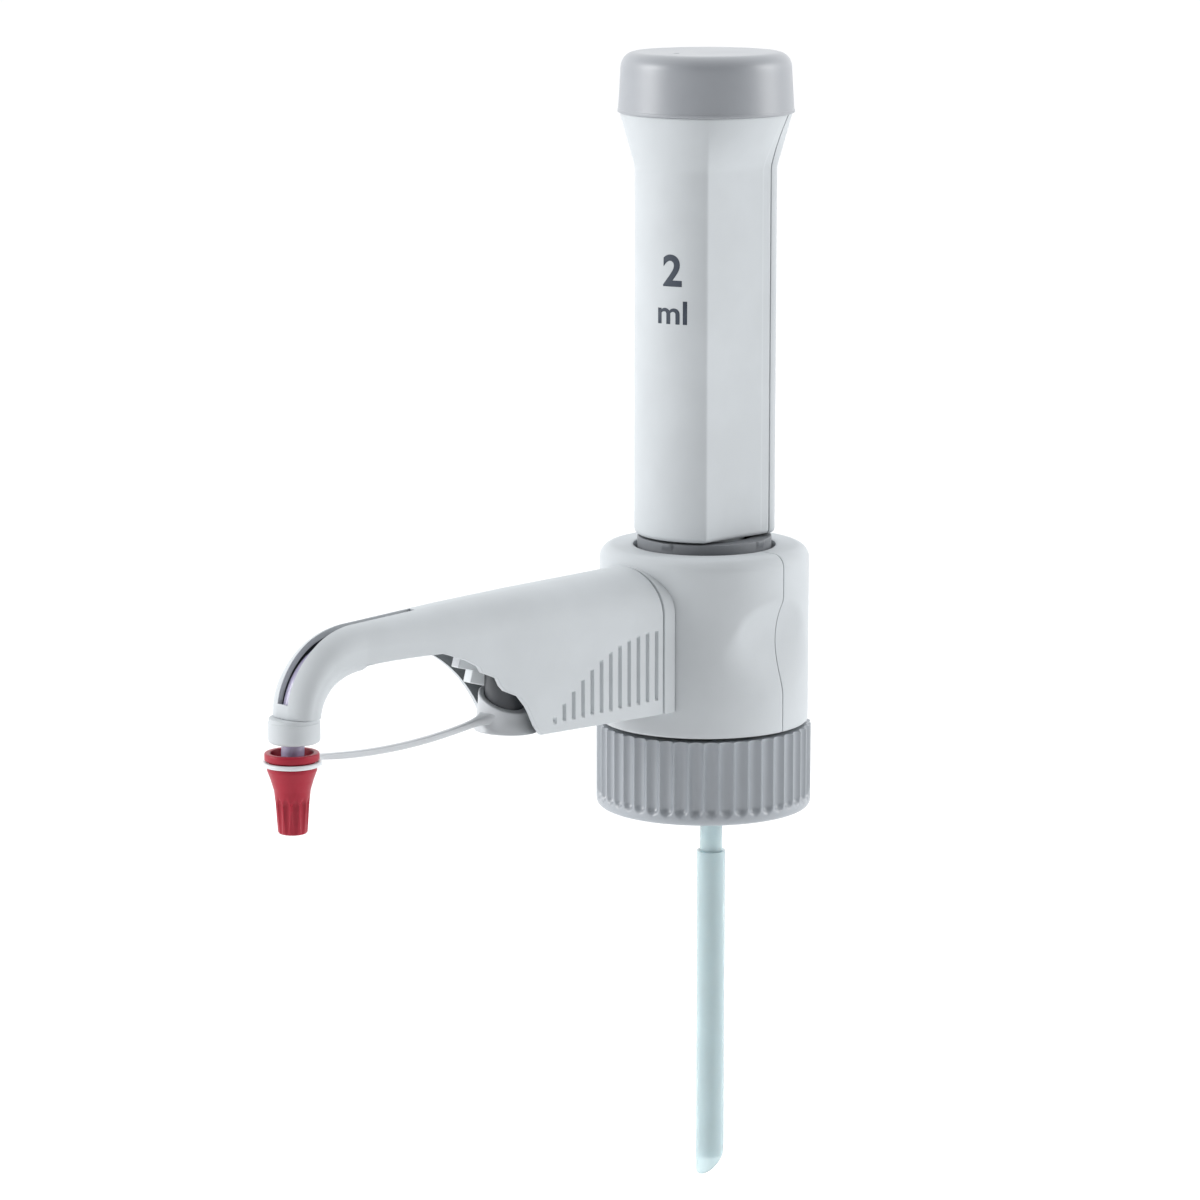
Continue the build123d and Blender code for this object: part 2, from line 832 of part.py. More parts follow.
# ---------------------------------------------------------------- inside the arm
with BuildPart() as strap_post:
    bridge = arm_half_width(post_reach + post_radius) - arm_wall - push_gap
    with BuildSketch(Plane.XY.offset(post_bottom)):
        with Locations((0, -post_reach)):
            Circle(post_radius)
    extrude(amount=post_height)
    with Locations((0, -post_reach, post_bottom + post_height)):
        Box(
            2 * bridge,
            2 * post_radius,
            post_plate,
            align=(Align.CENTER, Align.CENTER, Align.MIN),
        )
keep(strap_post, "strap_post")

with BuildPart() as tube_guide:
    bridge = arm_half_width(guide_reach + guide_length / 2) - arm_wall - push_gap
    guide_near = -guide_reach + guide_length / 2
    guide_far = -guide_reach - guide_length / 2
    with BuildSketch(Plane.YZ.offset(-guide_width / 2)):
        with BuildLine():
            Polyline(
                (guide_near, guide_top),
                (guide_near, guide_bottom),
                (-guide_reach, guide_bottom),
                (-guide_reach, guide_bottom + guide_step),
                (guide_far, guide_bottom + guide_step),
                (guide_far, guide_top),
                close=True,
            )
        make_face()
    extrude(amount=guide_width)
    with Locations((0, -guide_reach, guide_top)):
        Box(
            2 * bridge,
            guide_length,
            guide_plate,
            align=(Align.CENTER, Align.CENTER, Align.MAX),
        )
keep(tube_guide, "tube_guide")

with BuildPart() as strap_clip:
    with BuildSketch(Plane.XY.offset(clip_bottom)):
        with Locations((0, -post_reach)):
            Circle(clip_radius)
            Circle(clip_inner, mode=Mode.SUBTRACT)
    extrude(amount=clip_high + clip_wall - clip_bottom)
    rim_rise = clip_high - clip_low
    rim_plane = Plane(
        origin=(clip_radius, -post_reach, clip_low),
        x_dir=(0, 1, 0),
        z_dir=(rim_rise, 0, 2 * clip_radius),
    )
    split(bisect_by=rim_plane, keep=Keep.BOTTOM)
keep(strap_clip, "strap_clip")

with BuildPart() as strap:
    strap_near = -post_reach - clip_radius - push_gap
    strap_far = -nozzle_reach + loop_radius + push_gap
    far_height = (loop_top + loop_bottom) / 2
    middle = ((strap_near + strap_far) / 2, (strap_start + far_height) / 2 - strap_sag)
    half = strap_thickness / 2
    far_half = loop_thickness / 2
    with BuildSketch(Plane.YZ.offset(-strap_width / 2)):
        with BuildLine():
            ThreePointArc(
                (strap_near, strap_start + half),
                (middle[0], middle[1] + half),
                (strap_far, far_height + far_half),
            )
            Line((strap_far, far_height + far_half), (strap_far, far_height - far_half))
            ThreePointArc(
                (strap_far, far_height - far_half),
                (middle[0], middle[1] - half),
                (strap_near, strap_start - half),
            )
            Line((strap_near, strap_start - half), (strap_near, strap_start + half))
        make_face()
    extrude(amount=strap_width)
keep(strap, "strap")

with BuildPart() as strap_loop:
    with BuildSketch(Plane.XY.offset(loop_bottom)):
        with Locations((0, -nozzle_reach)):
            Circle(loop_radius)
            Circle(loop_inner, mode=Mode.SUBTRACT)
    extrude(amount=loop_thickness)
keep(strap_loop, "strap_loop")

# ---------------------------------------------------------------- nozzle cap
nozzle_axis = Axis((0, -nozzle_reach, 0), (0, 0, 1))
nozzle_plane = Plane(origin=(0, -nozzle_reach, 0), x_dir=(1, 0, 0), z_dir=(0, -1, 0))

with BuildPart() as nozzle_cap:
    cap_foot = nozzle_cap_top - nozzle_cap_height
    flange_foot = nozzle_cap_top - cap_flange
    groove_low = flange_foot - loop_thickness - 2 * push_gap
    bead_foot = groove_low - cap_bead
    cone_foot = bead_foot - cap_cone
    with BuildSketch(nozzle_plane):
        with BuildLine():
            Polyline(
                (cap_mouth_radius, nozzle_cap_top),
                (cap_flange_radius, nozzle_cap_top),
                (cap_flange_radius, flange_foot),
                (cap_groove_radius, flange_foot),
                (cap_groove_radius, groove_low),
                (cap_bead_radius, groove_low),
                (cap_bead_radius, bead_foot),
                (cap_grip_radius, cone_foot),
                (cap_tip_radius, cap_foot),
                (0, cap_foot),
                (0, nozzle_tip - slide_gap),
                (nozzle_radius + cap_fit, nozzle_tip - slide_gap),
                (nozzle_radius + cap_fit, nozzle_cap_top - cap_mouth),
                (cap_mouth_radius, nozzle_cap_top - cap_mouth),
                close=True,
            )
        make_face()
    revolve(axis=nozzle_axis)
    with Locations((0, -nozzle_reach, cap_foot)):
        with PolarLocations(cap_grip_radius + cap_rib_offset, cap_rib_count):
            Cylinder(
                cap_rib_radius,
                cone_foot - cap_foot - cap_rib_end,
                align=(Align.CENTER, Align.CENTER, Align.MIN),
                mode=Mode.SUBTRACT,
            )
keep(nozzle_cap, "nozzle_cap")

# ---------------------------------------------------------------- handle
with BuildPart() as handle_core:
    core_radius = handle_radius - handle_wall
    core_flat = handle_flat - handle_wall
    core_shelf = carrier_bottom - push_gap
    extrude(flat_sided(core_radius, core_flat, handle_bottom), core_shelf - handle_bottom)
    for radius, low, high in (
        (core_radius, core_shelf, carrier_top),
        (cap_bore, carrier_top, handle_top),
    ):
        with BuildSketch(Plane.XY.offset(low)):
            Circle(radius)
        extrude(amount=high - low)

# the flats fade into the flare, which ends as a circle under the cap
with BuildPart() as handle:
    foot = flat_sided(handle_radius, handle_flat, handle_bottom)
    extrude(foot, flare_start - handle_bottom)
    fillet(handle.faces().sort_by(Axis.Z)[0].edges(), radius=handle_edge)
    flare_foot = flat_sided(handle_radius, handle_flat, flare_start)
    loft([flare_foot, four_arcs(flare_radius, handle_top)], ruled=True)
    add(handle_core.part, mode=Mode.SUBTRACT)

with BuildPart() as handle_front:
    add(handle.part)
    split(bisect_by=Plane.XZ.offset(-handle_seam + seam_gap / 2), keep=Keep.TOP)
keep(handle_front, "handle_front")

with BuildPart() as handle_rear:
    add(handle.part)
    split(bisect_by=Plane.XZ.offset(-handle_seam - seam_gap / 2), keep=Keep.BOTTOM)
keep(handle_rear, "handle_rear")

with BuildPart() as guide_bush:
    with BuildSketch(Plane.XY.offset(bush_bottom)):
        with BuildSketch(mode=Mode.PRIVATE) as bush_flats:
            Rectangle(2 * (handle_flat - handle_wall - push_gap), 2 * handle_radius)
        Circle(handle_radius - handle_wall - push_gap)
        add(bush_flats.sketch, mode=Mode.INTERSECT)
        Circle(sleeve_radius + running_gap, mode=Mode.SUBTRACT)
    extrude(amount=bush_height)
keep(guide_bush, "guide_bush")

# ---------------------------------------------------------------- piston and its carrier
with BuildPart() as piston_rod:
    rod_bottom = piston_top
    rod_top = carrier_top + nut_thickness + rod_end
    with BuildSketch(Plane.XY.offset(rod_bottom)):
        Circle(rod_radius)
    extrude(amount=rod_top - rod_bottom)
    chamfer(piston_rod.edges().group_by(Axis.Z)[-1], length=rod_chamfer)
keep(piston_rod, "piston_rod")

with BuildPart() as piston:
    with BuildSketch(Plane.XZ):
        with BuildLine():
            Polyline(
                (0, piston_bottom),
                (piston_radius - piston_waist, piston_bottom),
                (piston_radius, piston_bottom + lip_lead),
                (piston_radius, piston_bottom + lip_height),
                (piston_radius - piston_waist, piston_bottom + lip_height + piston_waist),
                (piston_radius - piston_waist, piston_top - lip_height - piston_waist),
                (piston_radius, piston_top - lip_height),
                (piston_radius, piston_top),
                (0, piston_top),
                close=True,
            )
        make_face()
    revolve(axis=Axis.Z)
keep(piston, "piston")

with BuildPart() as rod_carrier:
    with BuildSketch(Plane.XY.offset(carrier_bottom)):
        Circle(core_radius - push_gap)
        Circle(rod_radius + push_gap, mode=Mode.SUBTRACT)
    extrude(amount=carrier_thickness)
keep(rod_carrier, "rod_carrier")

with BuildPart() as calibration_nut:
    with BuildSketch(Plane.XY.offset(carrier_top)):
        RegularPolygon(nut_radius, 6)
        Circle(rod_radius + push_gap / 2, mode=Mode.SUBTRACT)
    extrude(amount=nut_thickness)
keep(calibration_nut, "calibration_nut")

with BuildPart() as top_cap:
    with BuildSketch(Plane.XZ):
        with BuildLine():
            Polyline(
                (0, cap_top),
                (cap_radius - cap_draft, cap_top),
                (cap_radius, cap_bottom),
                (cap_radius - cap_wall, cap_bottom),
                (cap_radius - cap_wall, cap_top - cap_edge),
                (cap_radius - cap_edge, cap_top - cap_wall),
                (cap_bore - push_gap, cap_top - cap_wall),
                (cap_bore - push_gap, cap_bottom - cap_spigot),
                (cap_bore - cap_wall, cap_bottom - cap_spigot),
                (cap_bore - cap_wall, cap_top - cap_wall),
                (0, cap_top - cap_wall),
                close=True,
            )
        make_face()
    revolve(axis=Axis.Z)
    fillet(top_cap.edges().group_by(Axis.Z)[-1], radius=cap_edge)
    with Locations((0, -dimple_offset, cap_top)):
        Hole(dimple_radius, depth=dimple_depth)
keep(top_cap, "top_cap")

# ---------------------------------------------------------------- write the pieces
os.makedirs("parts", exist_ok=True)
for part in parts:
    export_step(part, f"parts/{part.label}.step")
    print(part.label, len(part.solids()), round(part.volume, 1))
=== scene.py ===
# %% [markdown]
# # A bottle-top dispenser
# The dispenser screws onto a laboratory bottle. Lifting the grey-topped handle draws liquid into a
# glass cylinder, and pressing it down sends one dose through the arm and out of the nozzle. The
# solid model gives the sizes and the moving bodies. This lesson dresses it: every piece that shows
# is worked out again as a smooth surface, with its own finish. Lengths are in millimetres here, in
# the solid model's frame: +Z is up the cylinder and the arm points along -Y.

import json

import bpy
import numpy as np
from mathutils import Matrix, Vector

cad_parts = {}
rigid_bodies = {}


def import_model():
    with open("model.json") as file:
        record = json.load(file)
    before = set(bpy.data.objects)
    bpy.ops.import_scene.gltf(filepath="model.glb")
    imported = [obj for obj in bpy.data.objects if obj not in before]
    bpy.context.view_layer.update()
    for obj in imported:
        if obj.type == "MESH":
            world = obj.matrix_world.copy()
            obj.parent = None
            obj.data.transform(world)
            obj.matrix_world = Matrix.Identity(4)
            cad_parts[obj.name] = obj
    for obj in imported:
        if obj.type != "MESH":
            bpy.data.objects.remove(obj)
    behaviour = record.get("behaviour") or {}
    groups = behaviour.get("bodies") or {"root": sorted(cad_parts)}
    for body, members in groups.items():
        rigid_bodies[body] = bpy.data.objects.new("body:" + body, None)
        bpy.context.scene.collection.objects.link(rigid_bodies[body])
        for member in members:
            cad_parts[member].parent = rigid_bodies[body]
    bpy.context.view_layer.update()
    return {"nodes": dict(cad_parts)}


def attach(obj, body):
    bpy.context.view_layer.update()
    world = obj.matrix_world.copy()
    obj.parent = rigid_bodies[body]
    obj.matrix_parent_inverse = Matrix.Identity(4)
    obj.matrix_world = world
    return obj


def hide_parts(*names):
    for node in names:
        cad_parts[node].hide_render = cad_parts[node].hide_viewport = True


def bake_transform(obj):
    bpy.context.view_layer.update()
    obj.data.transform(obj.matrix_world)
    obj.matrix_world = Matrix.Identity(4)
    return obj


for leftover in list(bpy.data.objects):
    bpy.data.objects.remove(leftover)
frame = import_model()

# %% [markdown]
# ## Camera
# A product picture is taken from far away with a long lens, so that upright lines stay upright.
# The camera stands to the front right of the arm and looks down by about ten degrees. It is aimed
# with to_track_quat, which turns a direction into a rotation.


# %% Camera
def add_object(name, data):
    """A new object in the scene, standing at the origin."""
    new_object = bpy.data.objects.new(name, data)
    bpy.context.scene.collection.objects.link(new_object)
    return new_object


MM = 0.001
aim = Vector((-18.7, -20.0, 37.8)) * MM
eye = Vector((851.2, -831.2, 260.4)) * MM
camera_data = bpy.data.cameras.new("studio_camera")
camera_data.lens = 138.0
camera_data.sensor_width = 36.0
camera_data.clip_start = 0.05
camera_data.clip_end = 20.0
camera = add_object("studio_camera", camera_data)
camera.location = eye
camera.rotation_euler = (aim - eye).to_track_quat("-Z", "Y").to_euler()
bpy.context.scene.camera = camera
print("camera is", round((aim - eye).length, 3), "m from the middle of the picture")

# %% [markdown]
# ## Outlines
# Nearly every piece here is turned or drawn from an outline with rounded corners. Blender could
# bevel the finished mesh, but an arc put into the outline keeps its exact radius. `rounded` swaps
# each corner for an arc that touches both sides, and `refine` adds points along long sides, where
# a pattern such as flutes or a thread needs them.


# %% Rounded outlines
def rounded(corners, radii, closed=True, steps=7):
    """An outline with arcs for corners. For a corner with half angle h and radius r, the arc
    starts r / tan(h) before the corner and its centre lies r / sin(h) along the bisector."""
    corners = np.asarray(corners, float)
    out = []
    for k, (corner, radius) in enumerate(zip(corners, radii)):
        at_end = not closed and k in (0, len(corners) - 1)
        if radius == 0 or at_end:
            out.append(corner[None])
            continue
        back = corners[k - 1] - corner
        on = corners[(k + 1) % len(corners)] - corner
        back_length, on_length = np.linalg.norm(back), np.linalg.norm(on)
        back, on = back / back_length, on / on_length
        half = np.arccos(np.clip(back @ on, -1, 1)) / 2
        reach = min(radius / np.tan(half), 0.499 * min(back_length, on_length))
        radius = reach * np.tan(half)
        middle = (back + on) / np.linalg.norm(back + on)
        centre = corner + middle * radius / np.sin(half)
        turn = np.pi - 2 * half
        share = np.linspace(0, 1, steps)[:, None]
        first, last = corner + back * reach - centre, corner + on * reach - centre
        arc = (np.sin((1 - share) * turn) * first + np.sin(share * turn) * last) / np.sin(turn)
        out.append(centre + arc)
    return np.concatenate(out)


def refine(path, step, closed=False):
    """The same path with points added so that none are more than a step apart."""
    if closed:
        path = np.concatenate([path, path[:1]])
    length = np.r_[0, np.cumsum(np.linalg.norm(np.diff(path, axis=0), axis=1))]
    extra = np.arange(0, length[-1], step)
    nearest = np.abs(extra[:, None] - length[None]).min(1)
    at = np.unique(np.r_[length, extra[nearest > step / 3]])
    finer = np.stack([np.interp(at, length, path[:, k]) for k in range(path.shape[1])], -1)
    return finer[:-1] if closed else finer


def ring_profile(outer, inner, low, high, radii):
    """A plain ring's outline: a rectangle between two radii and two heights."""
    return rounded([(outer, low), (outer, high), (inner, high), (inner, low)], radii)


def even(path, count):
    """The path read at evenly spaced places along its length."""
    length = np.r_[0, np.cumsum(np.linalg.norm(np.diff(path, axis=0), axis=1))]
    at = np.linspace(0, length[-1], count)
    return np.stack([np.interp(at, length, path[:, k]) for k in range(path.shape[1])], -1)


def step_up(value, low, high):
    """0 below low, 1 above high, and an even S-curve between them."""
    share = np.clip((value - low) / (high - low), 0, 1)
    return share * share * (3 - 2 * share)


def soft_min(a, b, width):
    """The smaller of two values, with the crease between them rounded over the width."""
    near = np.clip(0.5 + 0.5 * (b - a) / width, 0, 1)
    return b * (1 - near) + a * near - width * near * (1 - near)


# %% [markdown]
# ## From a grid to a piece
# A surface is a grid of points: rows along a profile or a path, columns round it. The next cell
# joins neighbours into four-sided faces, all at once with numpy. A moulded shell has two such
# grids, an outer and an inner one, and a wall wherever a face has no neighbour: along an open
# edge, a slot or the end. `make_piece` merges points that fall together, turns the faces outwards
# (a closed surface turned inside out has a negative volume), and gives the piece its body.


# %% Grids and shells
def grid_faces(rows, columns, close_rows=False, close_columns=True):
    """Faces of a grid: each joins point (i, j) to (i, j+1), (i+1, j+1) and (i+1, j)."""
    index = np.arange(rows * columns).reshape(rows, columns)
    if close_rows:
        index = np.concatenate([index, index[:1]])
    if close_columns:
        index = np.concatenate([index, index[:, :1]], axis=1)
    corners = [index[:-1, :-1], index[:-1, 1:], index[1:, 1:], index[1:, :-1]]
    return np.stack(corners, -1).reshape(-1, 4)


def shell_faces(kept, close_columns):
    """Faces of an outer and an inner grid, with a wall at every edge that only one kept face
    of the outer grid has. kept says which faces are there, row by row."""
    rows, columns = kept.shape[0] + 1, kept.shape[1] + (0 if close_columns else 1)
    index = np.arange(rows * columns).reshape(rows, columns)
    inner = index.size
    if close_columns:
        index = np.concatenate([index, index[:, :1]], axis=1)
    quads = grid_faces(rows, columns, close_columns=close_columns)[kept.ravel()]
    faces = [quads, quads[:, ::-1] + inner]

    def add_walls(low, high, after, before):
        for first, last, where in ((low, high, after & ~before), (high, low, before & ~after)):
            a, b = first[where], last[where]
            faces.append(np.stack([a, b, b + inner, a + inner], -1))

    row_after, row_before = np.pad(kept, ((0, 1), (0, 0))), np.pad(kept, ((1, 0), (0, 0)))
    add_walls(index[:, 1:], index[:, :-1], row_after, row_before)
    if close_columns:
        add_walls(index[:-1, :-1], index[1:, :-1], kept, np.roll(kept, 1, axis=1))
    else:
        after, before = np.pad(kept, ((0, 0), (0, 1))), np.pad(kept, ((0, 0), (1, 0)))
        add_walls(index[:-1], index[1:], after, before)
    return np.concatenate(faces)


def joined(*surfaces):
    """Several closed surfaces as one: points one after another, faces counted on."""
    points, faces, count = [], [], 0
    for surface_points, surface_faces in surfaces:
        surface_points = surface_points.reshape(-1, 3)
        points.append(surface_points)
        faces.append(surface_faces + count)
        count += len(surface_points)
    return np.concatenate(points), np.concatenate(faces)


def outward(points, faces):
    """The faces turned so that the volume inside them, a sum of corner pyramids, is positive."""
    a, b, c, d = (points[faces[:, k]] for k in range(4))
    volume = np.einsum("ij,ij", a, np.cross(b, c)) + np.einsum("ij,ij", a, np.cross(c, d))
    return faces if volume > 0 else faces[:, ::-1]


def make_piece(name, points, faces, body, finish, slot, replaces=(), sharp=38, painted_inside=None):
    """A mesh from points in millimetres. Points closer than a hundredth of a micrometre become
    one, faces that lose a corner become triangles, and edges sharper than the angle stay crisp.
    A piece without a body is given its place by the caller. The last argument is a second, darker
    finish that paints shade, and a mask of the faces that get it."""
    points = np.asarray(points, float).reshape(-1, 3)
    faces = outward(points, faces)
    _, keep, renumber = np.unique(
        np.round(points, 5), axis=0, return_index=True, return_inverse=True
    )
    faces = renumber.reshape(-1)[faces]
    points = points[keep]
    corner_differs = faces != np.roll(faces, -1, axis=1)
    corners = corner_differs.sum(1)
    whole = (corners == 4) & (faces[:, 0] != faces[:, 2]) & (faces[:, 1] != faces[:, 3])
    four = faces[whole]
    three = faces[corners == 3][corner_differs[corners == 3]].reshape(-1, 3)
    used = np.unique(np.r_[four.ravel(), three.ravel()])
    place = np.full(len(points), -1)
    place[used] = np.arange(len(used))
    mesh = bpy.data.meshes.new(name)
    all_faces = place[four].tolist() + place[three].tolist()
    mesh.from_pydata((points[used] * MM).tolist(), [], all_faces)
    if painted_inside:
        mesh.polygons.foreach_set(
            "material_index", np.r_[painted_inside[1][whole], painted_inside[1][corners == 3]].astype(np.int32)
        )
    mesh.validate()
    mesh.shade_smooth()
    mesh.set_sharp_from_angle(angle=np.radians(sharp))
    mesh.materials.append(finish)
    if painted_inside:
        mesh.materials.append(painted_inside[0])
    piece = add_object(name, mesh)
    if body:
        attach(piece, body)
    if replaces:
        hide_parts(*replaces)
    print(f"{name}: {len(four)} quads and {len(three)} triangles")
    return piece


def turned(outline, step, count, axis=(0.0, 0.0), shape=None, closed=True):
    """An outline of (radius, height) carried round an upright axis: x and y are the radius times
    the cosine and sine of the angle. With a step the outline is refined first, and shape may
    change radius and height with the angle."""
    outline = refine(outline, step, closed) if step else outline
    angle = np.arange(count) * 2 * np.pi / count
    radius = np.repeat(outline[:, :1], count, axis=1)
    height = np.repeat(outline[:, 1:2], count, axis=1)
    if shape is not None:
        radius, height = shape(radius, height, angle[None])
    x = axis[0] + radius * np.cos(angle)
    y = axis[1] + radius * np.sin(angle)
    points = np.stack([x, y, height], -1)
    return points, grid_faces(len(outline), count, close_rows=closed)


# %% [markdown]
# ## Finishes
# The shells are moulded polypropylene: pale, slightly bluish, with a fine spark-eroded grain that
# spreads every reflection. A flat colour would look like paint, so each finish has three layers
# read from Object coordinates, which do not slide over the piece: a fine grain in a Bump node, a
# slow drift of the colour, and a slow drift of the roughness where hands polish the surface.


# %% Moulded plastics
def set_inputs(node, **values):
    """Sets a node's inputs by name, with _ for a space."""
    for name, value in values.items():
        node.inputs[name.replace("_", " ")].default_value = value
    return node


def new_finish(name):
    """A material with its node tree and its shader."""
    finish = bpy.data.materials.new(name)
    finish.use_nodes = True
    return finish, finish.node_tree, finish.node_tree.nodes["Principled BSDF"]


def moulded(
    name, colour, roughness, grain_size, grain_depth, drift=0.04, clear=0.0, wax=0.0, shine=0.5
):
    """Satin plastic. grain_size and grain_depth are in millimetres; drift is how far the colour
    wanders; wax is the share of light that scatters under the surface; shine is the strength
    of the reflection."""
    finish, tree, shader = new_finish(name)
    new, link = tree.nodes.new, tree.links.new
    set_inputs(shader, IOR=1.49, Specular_IOR_Level=shine, Transmission_Weight=clear)
    if wax:
        scatter = (0.002, 0.0018, 0.0016)
        set_inputs(shader, Subsurface_Weight=wax, Subsurface_Radius=scatter, Subsurface_Scale=1.0)
    place = new("ShaderNodeTexCoord")
    grain = new("ShaderNodeTexNoise")
    set_inputs(grain, Scale=1 / (grain_size * MM), Detail=2.0, Roughness=0.6)
    bump = set_inputs(new("ShaderNodeBump"), Strength=1.0, Distance=grain_depth * MM)
    link(place.outputs["Object"], grain.inputs["Vector"])
    link(grain.outputs["Fac"], bump.inputs["Height"])
    link(bump.outputs["Normal"], shader.inputs["Normal"])
    slow = set_inputs(new("ShaderNodeTexNoise"), Scale=55.0, Detail=3.0)
    link(place.outputs["Object"], slow.inputs["Vector"])
    ramp = new("ShaderNodeValToRGB")
    dark, light = ramp.color_ramp.elements
    dark.position, light.position = 0.35, 0.65
    dark.color = (*(c * (1 - drift) for c in colour), 1)
    light.color = (*(min(c * (1 + drift / 2), 1.0) for c in colour), 1)
    link(slow.outputs["Fac"], ramp.inputs["Fac"])
    link(ramp.outputs["Color"], shader.inputs["Base Color"])
    polish = set_inputs(new("ShaderNodeMapRange"), From_Min=0.3, From_Max=0.7)
    set_inputs(polish, To_Min=roughness - 0.04, To_Max=roughness + 0.05)
    link(slow.outputs["Fac"], polish.inputs["Value"])
    link(polish.outputs["Result"], shader.inputs["Roughness"])
    return finish


shell_finish = moulded("pale_shell_plastic", (0.52, 0.547, 0.567), 0.6, 0.45, 0.012, shine=0.3)
ring_finish = moulded("ribbed_ring_plastic", (0.31, 0.335, 0.365), 0.4, 0.4, 0.012, shine=1.0)
cap_finish = moulded("grey_cap_plastic", (0.285, 0.3, 0.325), 0.4, 0.4, 0.014, shine=1.0)
dark_finish = moulded("dark_post_plastic", (0.055, 0.06, 0.068), 0.45, 0.4, 0.01)
collar_finish = moulded("grey_collar_plastic", (0.17, 0.18, 0.195), 0.5, 0.4, 0.01)
# A darker copy of the shell plastic: painted shade for the arm's dim inside.
inside_shade_finish = moulded("painted_shade_inside", (0.17, 0.185, 0.195), 0.75, 0.5, 0.02)
strap_finish = moulded("white_strap_plastic", (0.5, 0.52, 0.54), 0.35, 0.6, 0.006)
insert_finish = moulded("white_insert_plastic", (0.66, 0.69, 0.71), 0.4, 0.5, 0.008)
red_finish = moulded(
    "red_cap_plastic", (0.34, 0.016, 0.034), 0.38, 0.5, 0.01, drift=0.08, shine=0.25
)
ink_finish = moulded("slate_ink", (0.03, 0.042, 0.062), 0.55, 0.2, 0.003)
lilac_finish = moulded(
    "lilac_tube_plastic", (0.62, 0.58, 0.8), 0.18, 0.8, 0.004, clear=0.45, wax=0.2
)
blue_finish = moulded("blue_tube_plastic", (0.72, 0.87, 0.9), 0.2, 0.9, 0.004, clear=0.5, wax=0.2)
print(len(bpy.data.materials), "materials")

# %% [markdown]
# ## Bottle ring
# The ring has 45 upright flutes for grip and a 45 mm bottle thread inside. Cutting 45 grooves
# with Booleans would leave a heavy, broken mesh. Instead the outline is turned on a fine grid and
# the radius follows a rule: inside a flute it is the distance to a circle that stands just
# outside the ring, and lower down that circle shrinks like a ball, which rounds the flute's end.

# %% Bottle ring
ring_radius, ring_foot, ring_top = 28.3, -16.8, 5.3
flute_count, flute_radius, flute_centre, flute_end, flute_edge = 45, 1.87, 28.98, -12.6, 0.12
thread_radius, thread_pitch, thread_depth = 22.75, 4.0, 0.9
neck_hole, bore_limit = 17.98, 26.0


def hollow_wall(angle, count, centre, ball):
    """How far out a wall may reach between count circles that stand round it: centre cos(a) -
    sqrt(ball^2 - (centre sin(a))^2), with a measured from the nearest circle's middle."""
    pitch = 2 * np.pi / count
    across = (angle / pitch + 0.5) % 1 * pitch - pitch / 2
    inside = np.maximum(ball**2 - (centre * np.sin(across)) ** 2, 0)
    return np.where(inside > 0, centre * np.cos(across) - np.sqrt(inside), centre)


def ring_shape(radius, height, angle):
    """Flutes outside, and a thread inside: a ridge that climbs one pitch in a turn."""
    below = np.minimum(height - flute_end, 0)
    ball = np.sqrt(np.maximum(flute_radius**2 - below**2, 0))
    fluted = soft_min(radius, hollow_wall(angle, flute_count, flute_centre, ball), flute_edge)
    radius = np.where(radius > bore_limit, fluted, radius)
    turn = (height / thread_pitch - angle / (2 * np.pi)) % 1
    ridge = step_up(0.3 - np.abs(turn - 0.5), 0, 0.14)
    fade = step_up(height, ring_foot + 1, ring_foot + 4) * step_up(-height, 2, 4)
    in_bore = (radius > thread_radius - 0.3) & (radius < thread_radius + 0.3) & (height < 3)
    return np.where(in_bore, radius - thread_depth * ridge * fade, radius), height


ring_outline = rounded(
    [
        (ring_radius, ring_foot), (ring_radius, ring_top), (neck_hole, ring_top), (neck_hole, 3.5),
        (thread_radius, 3.5), (thread_radius, ring_foot),
    ],
    [1.6, 0.3, 0.3, 0, 0, 0.5],
)
make_piece(
    "fluted_ring", *turned(ring_outline, 0.5, flute_count * 13, shape=ring_shape), "ring",
    ring_finish, "grey_ribbed", ["bottle_ring"], 50,
)

# %% [markdown]
# ## Housing
# The housing is two thin shells that meet at a fine line across the sides, with a scoop for thumb
# and finger on each side. The wall is turned like a cup, and the scoops are a limit on x: a lying
# cylinder whose surface x is centre - sqrt(R^2 - z^2). A soft minimum blends wall and scoop, more
# softly below than above. Each column of the grid starts where the wall meets the seam's plane.

# %% Housing shells
housing_radius, housing_wall = 27.5, 2.0
housing_foot, housing_top, housing_hole = 6.3, 53.0, 18.6
housing_seam, seam_half = 2.0, 0.12
scoop_height, scoop_half, scoop_depth = 30.4, 10.8, 3.1
scoop_radius = (scoop_half**2 + scoop_depth**2) / (2 * scoop_depth)
scoop_centre = housing_radius - scoop_depth + scoop_radius


def scooped(x, z, wall):
    """x limited to the lying cylinder, with a crease that is softer below the middle."""
    rise = np.clip(np.abs(z - scoop_height), 0, scoop_radius * 0.9)
    cylinder = scoop_centre - np.sqrt((scoop_radius + wall) ** 2 - rise**2)
    softness = 0.7 + 2.2 * step_up(scoop_height - z, -4, 6)
    return np.sign(x) * soft_min(np.abs(x), cylinder, softness)


def seam_columns(count, span):
    """Shares from 0 to 1 with extra ones close to both ends, where the edge is rounded."""
    edge = np.array([0, 0.06, 0.14, 0.24]) / span
    return np.unique(np.r_[edge, np.linspace(0.5 / span, 1 - 0.5 / span, count), 1 - edge])


def seam_round(share, span, depth=0.13, width=0.24):
    """How far the surface sinks beside a seam: a quarter circle over the width."""
    gap = np.minimum(share, 1 - share) * span
    near = np.clip(1 - gap / width, 0, 1)
    return depth * (1 - np.sqrt(1 - near**2))


def seam_to_seam(front, start, share):
    """Angles from one seam edge to the other, round the front or round the rear."""
    if front:
        return -np.pi - start + share[None] * (np.pi + 2 * start)
    return start + share[None] * (np.pi - 2 * start)


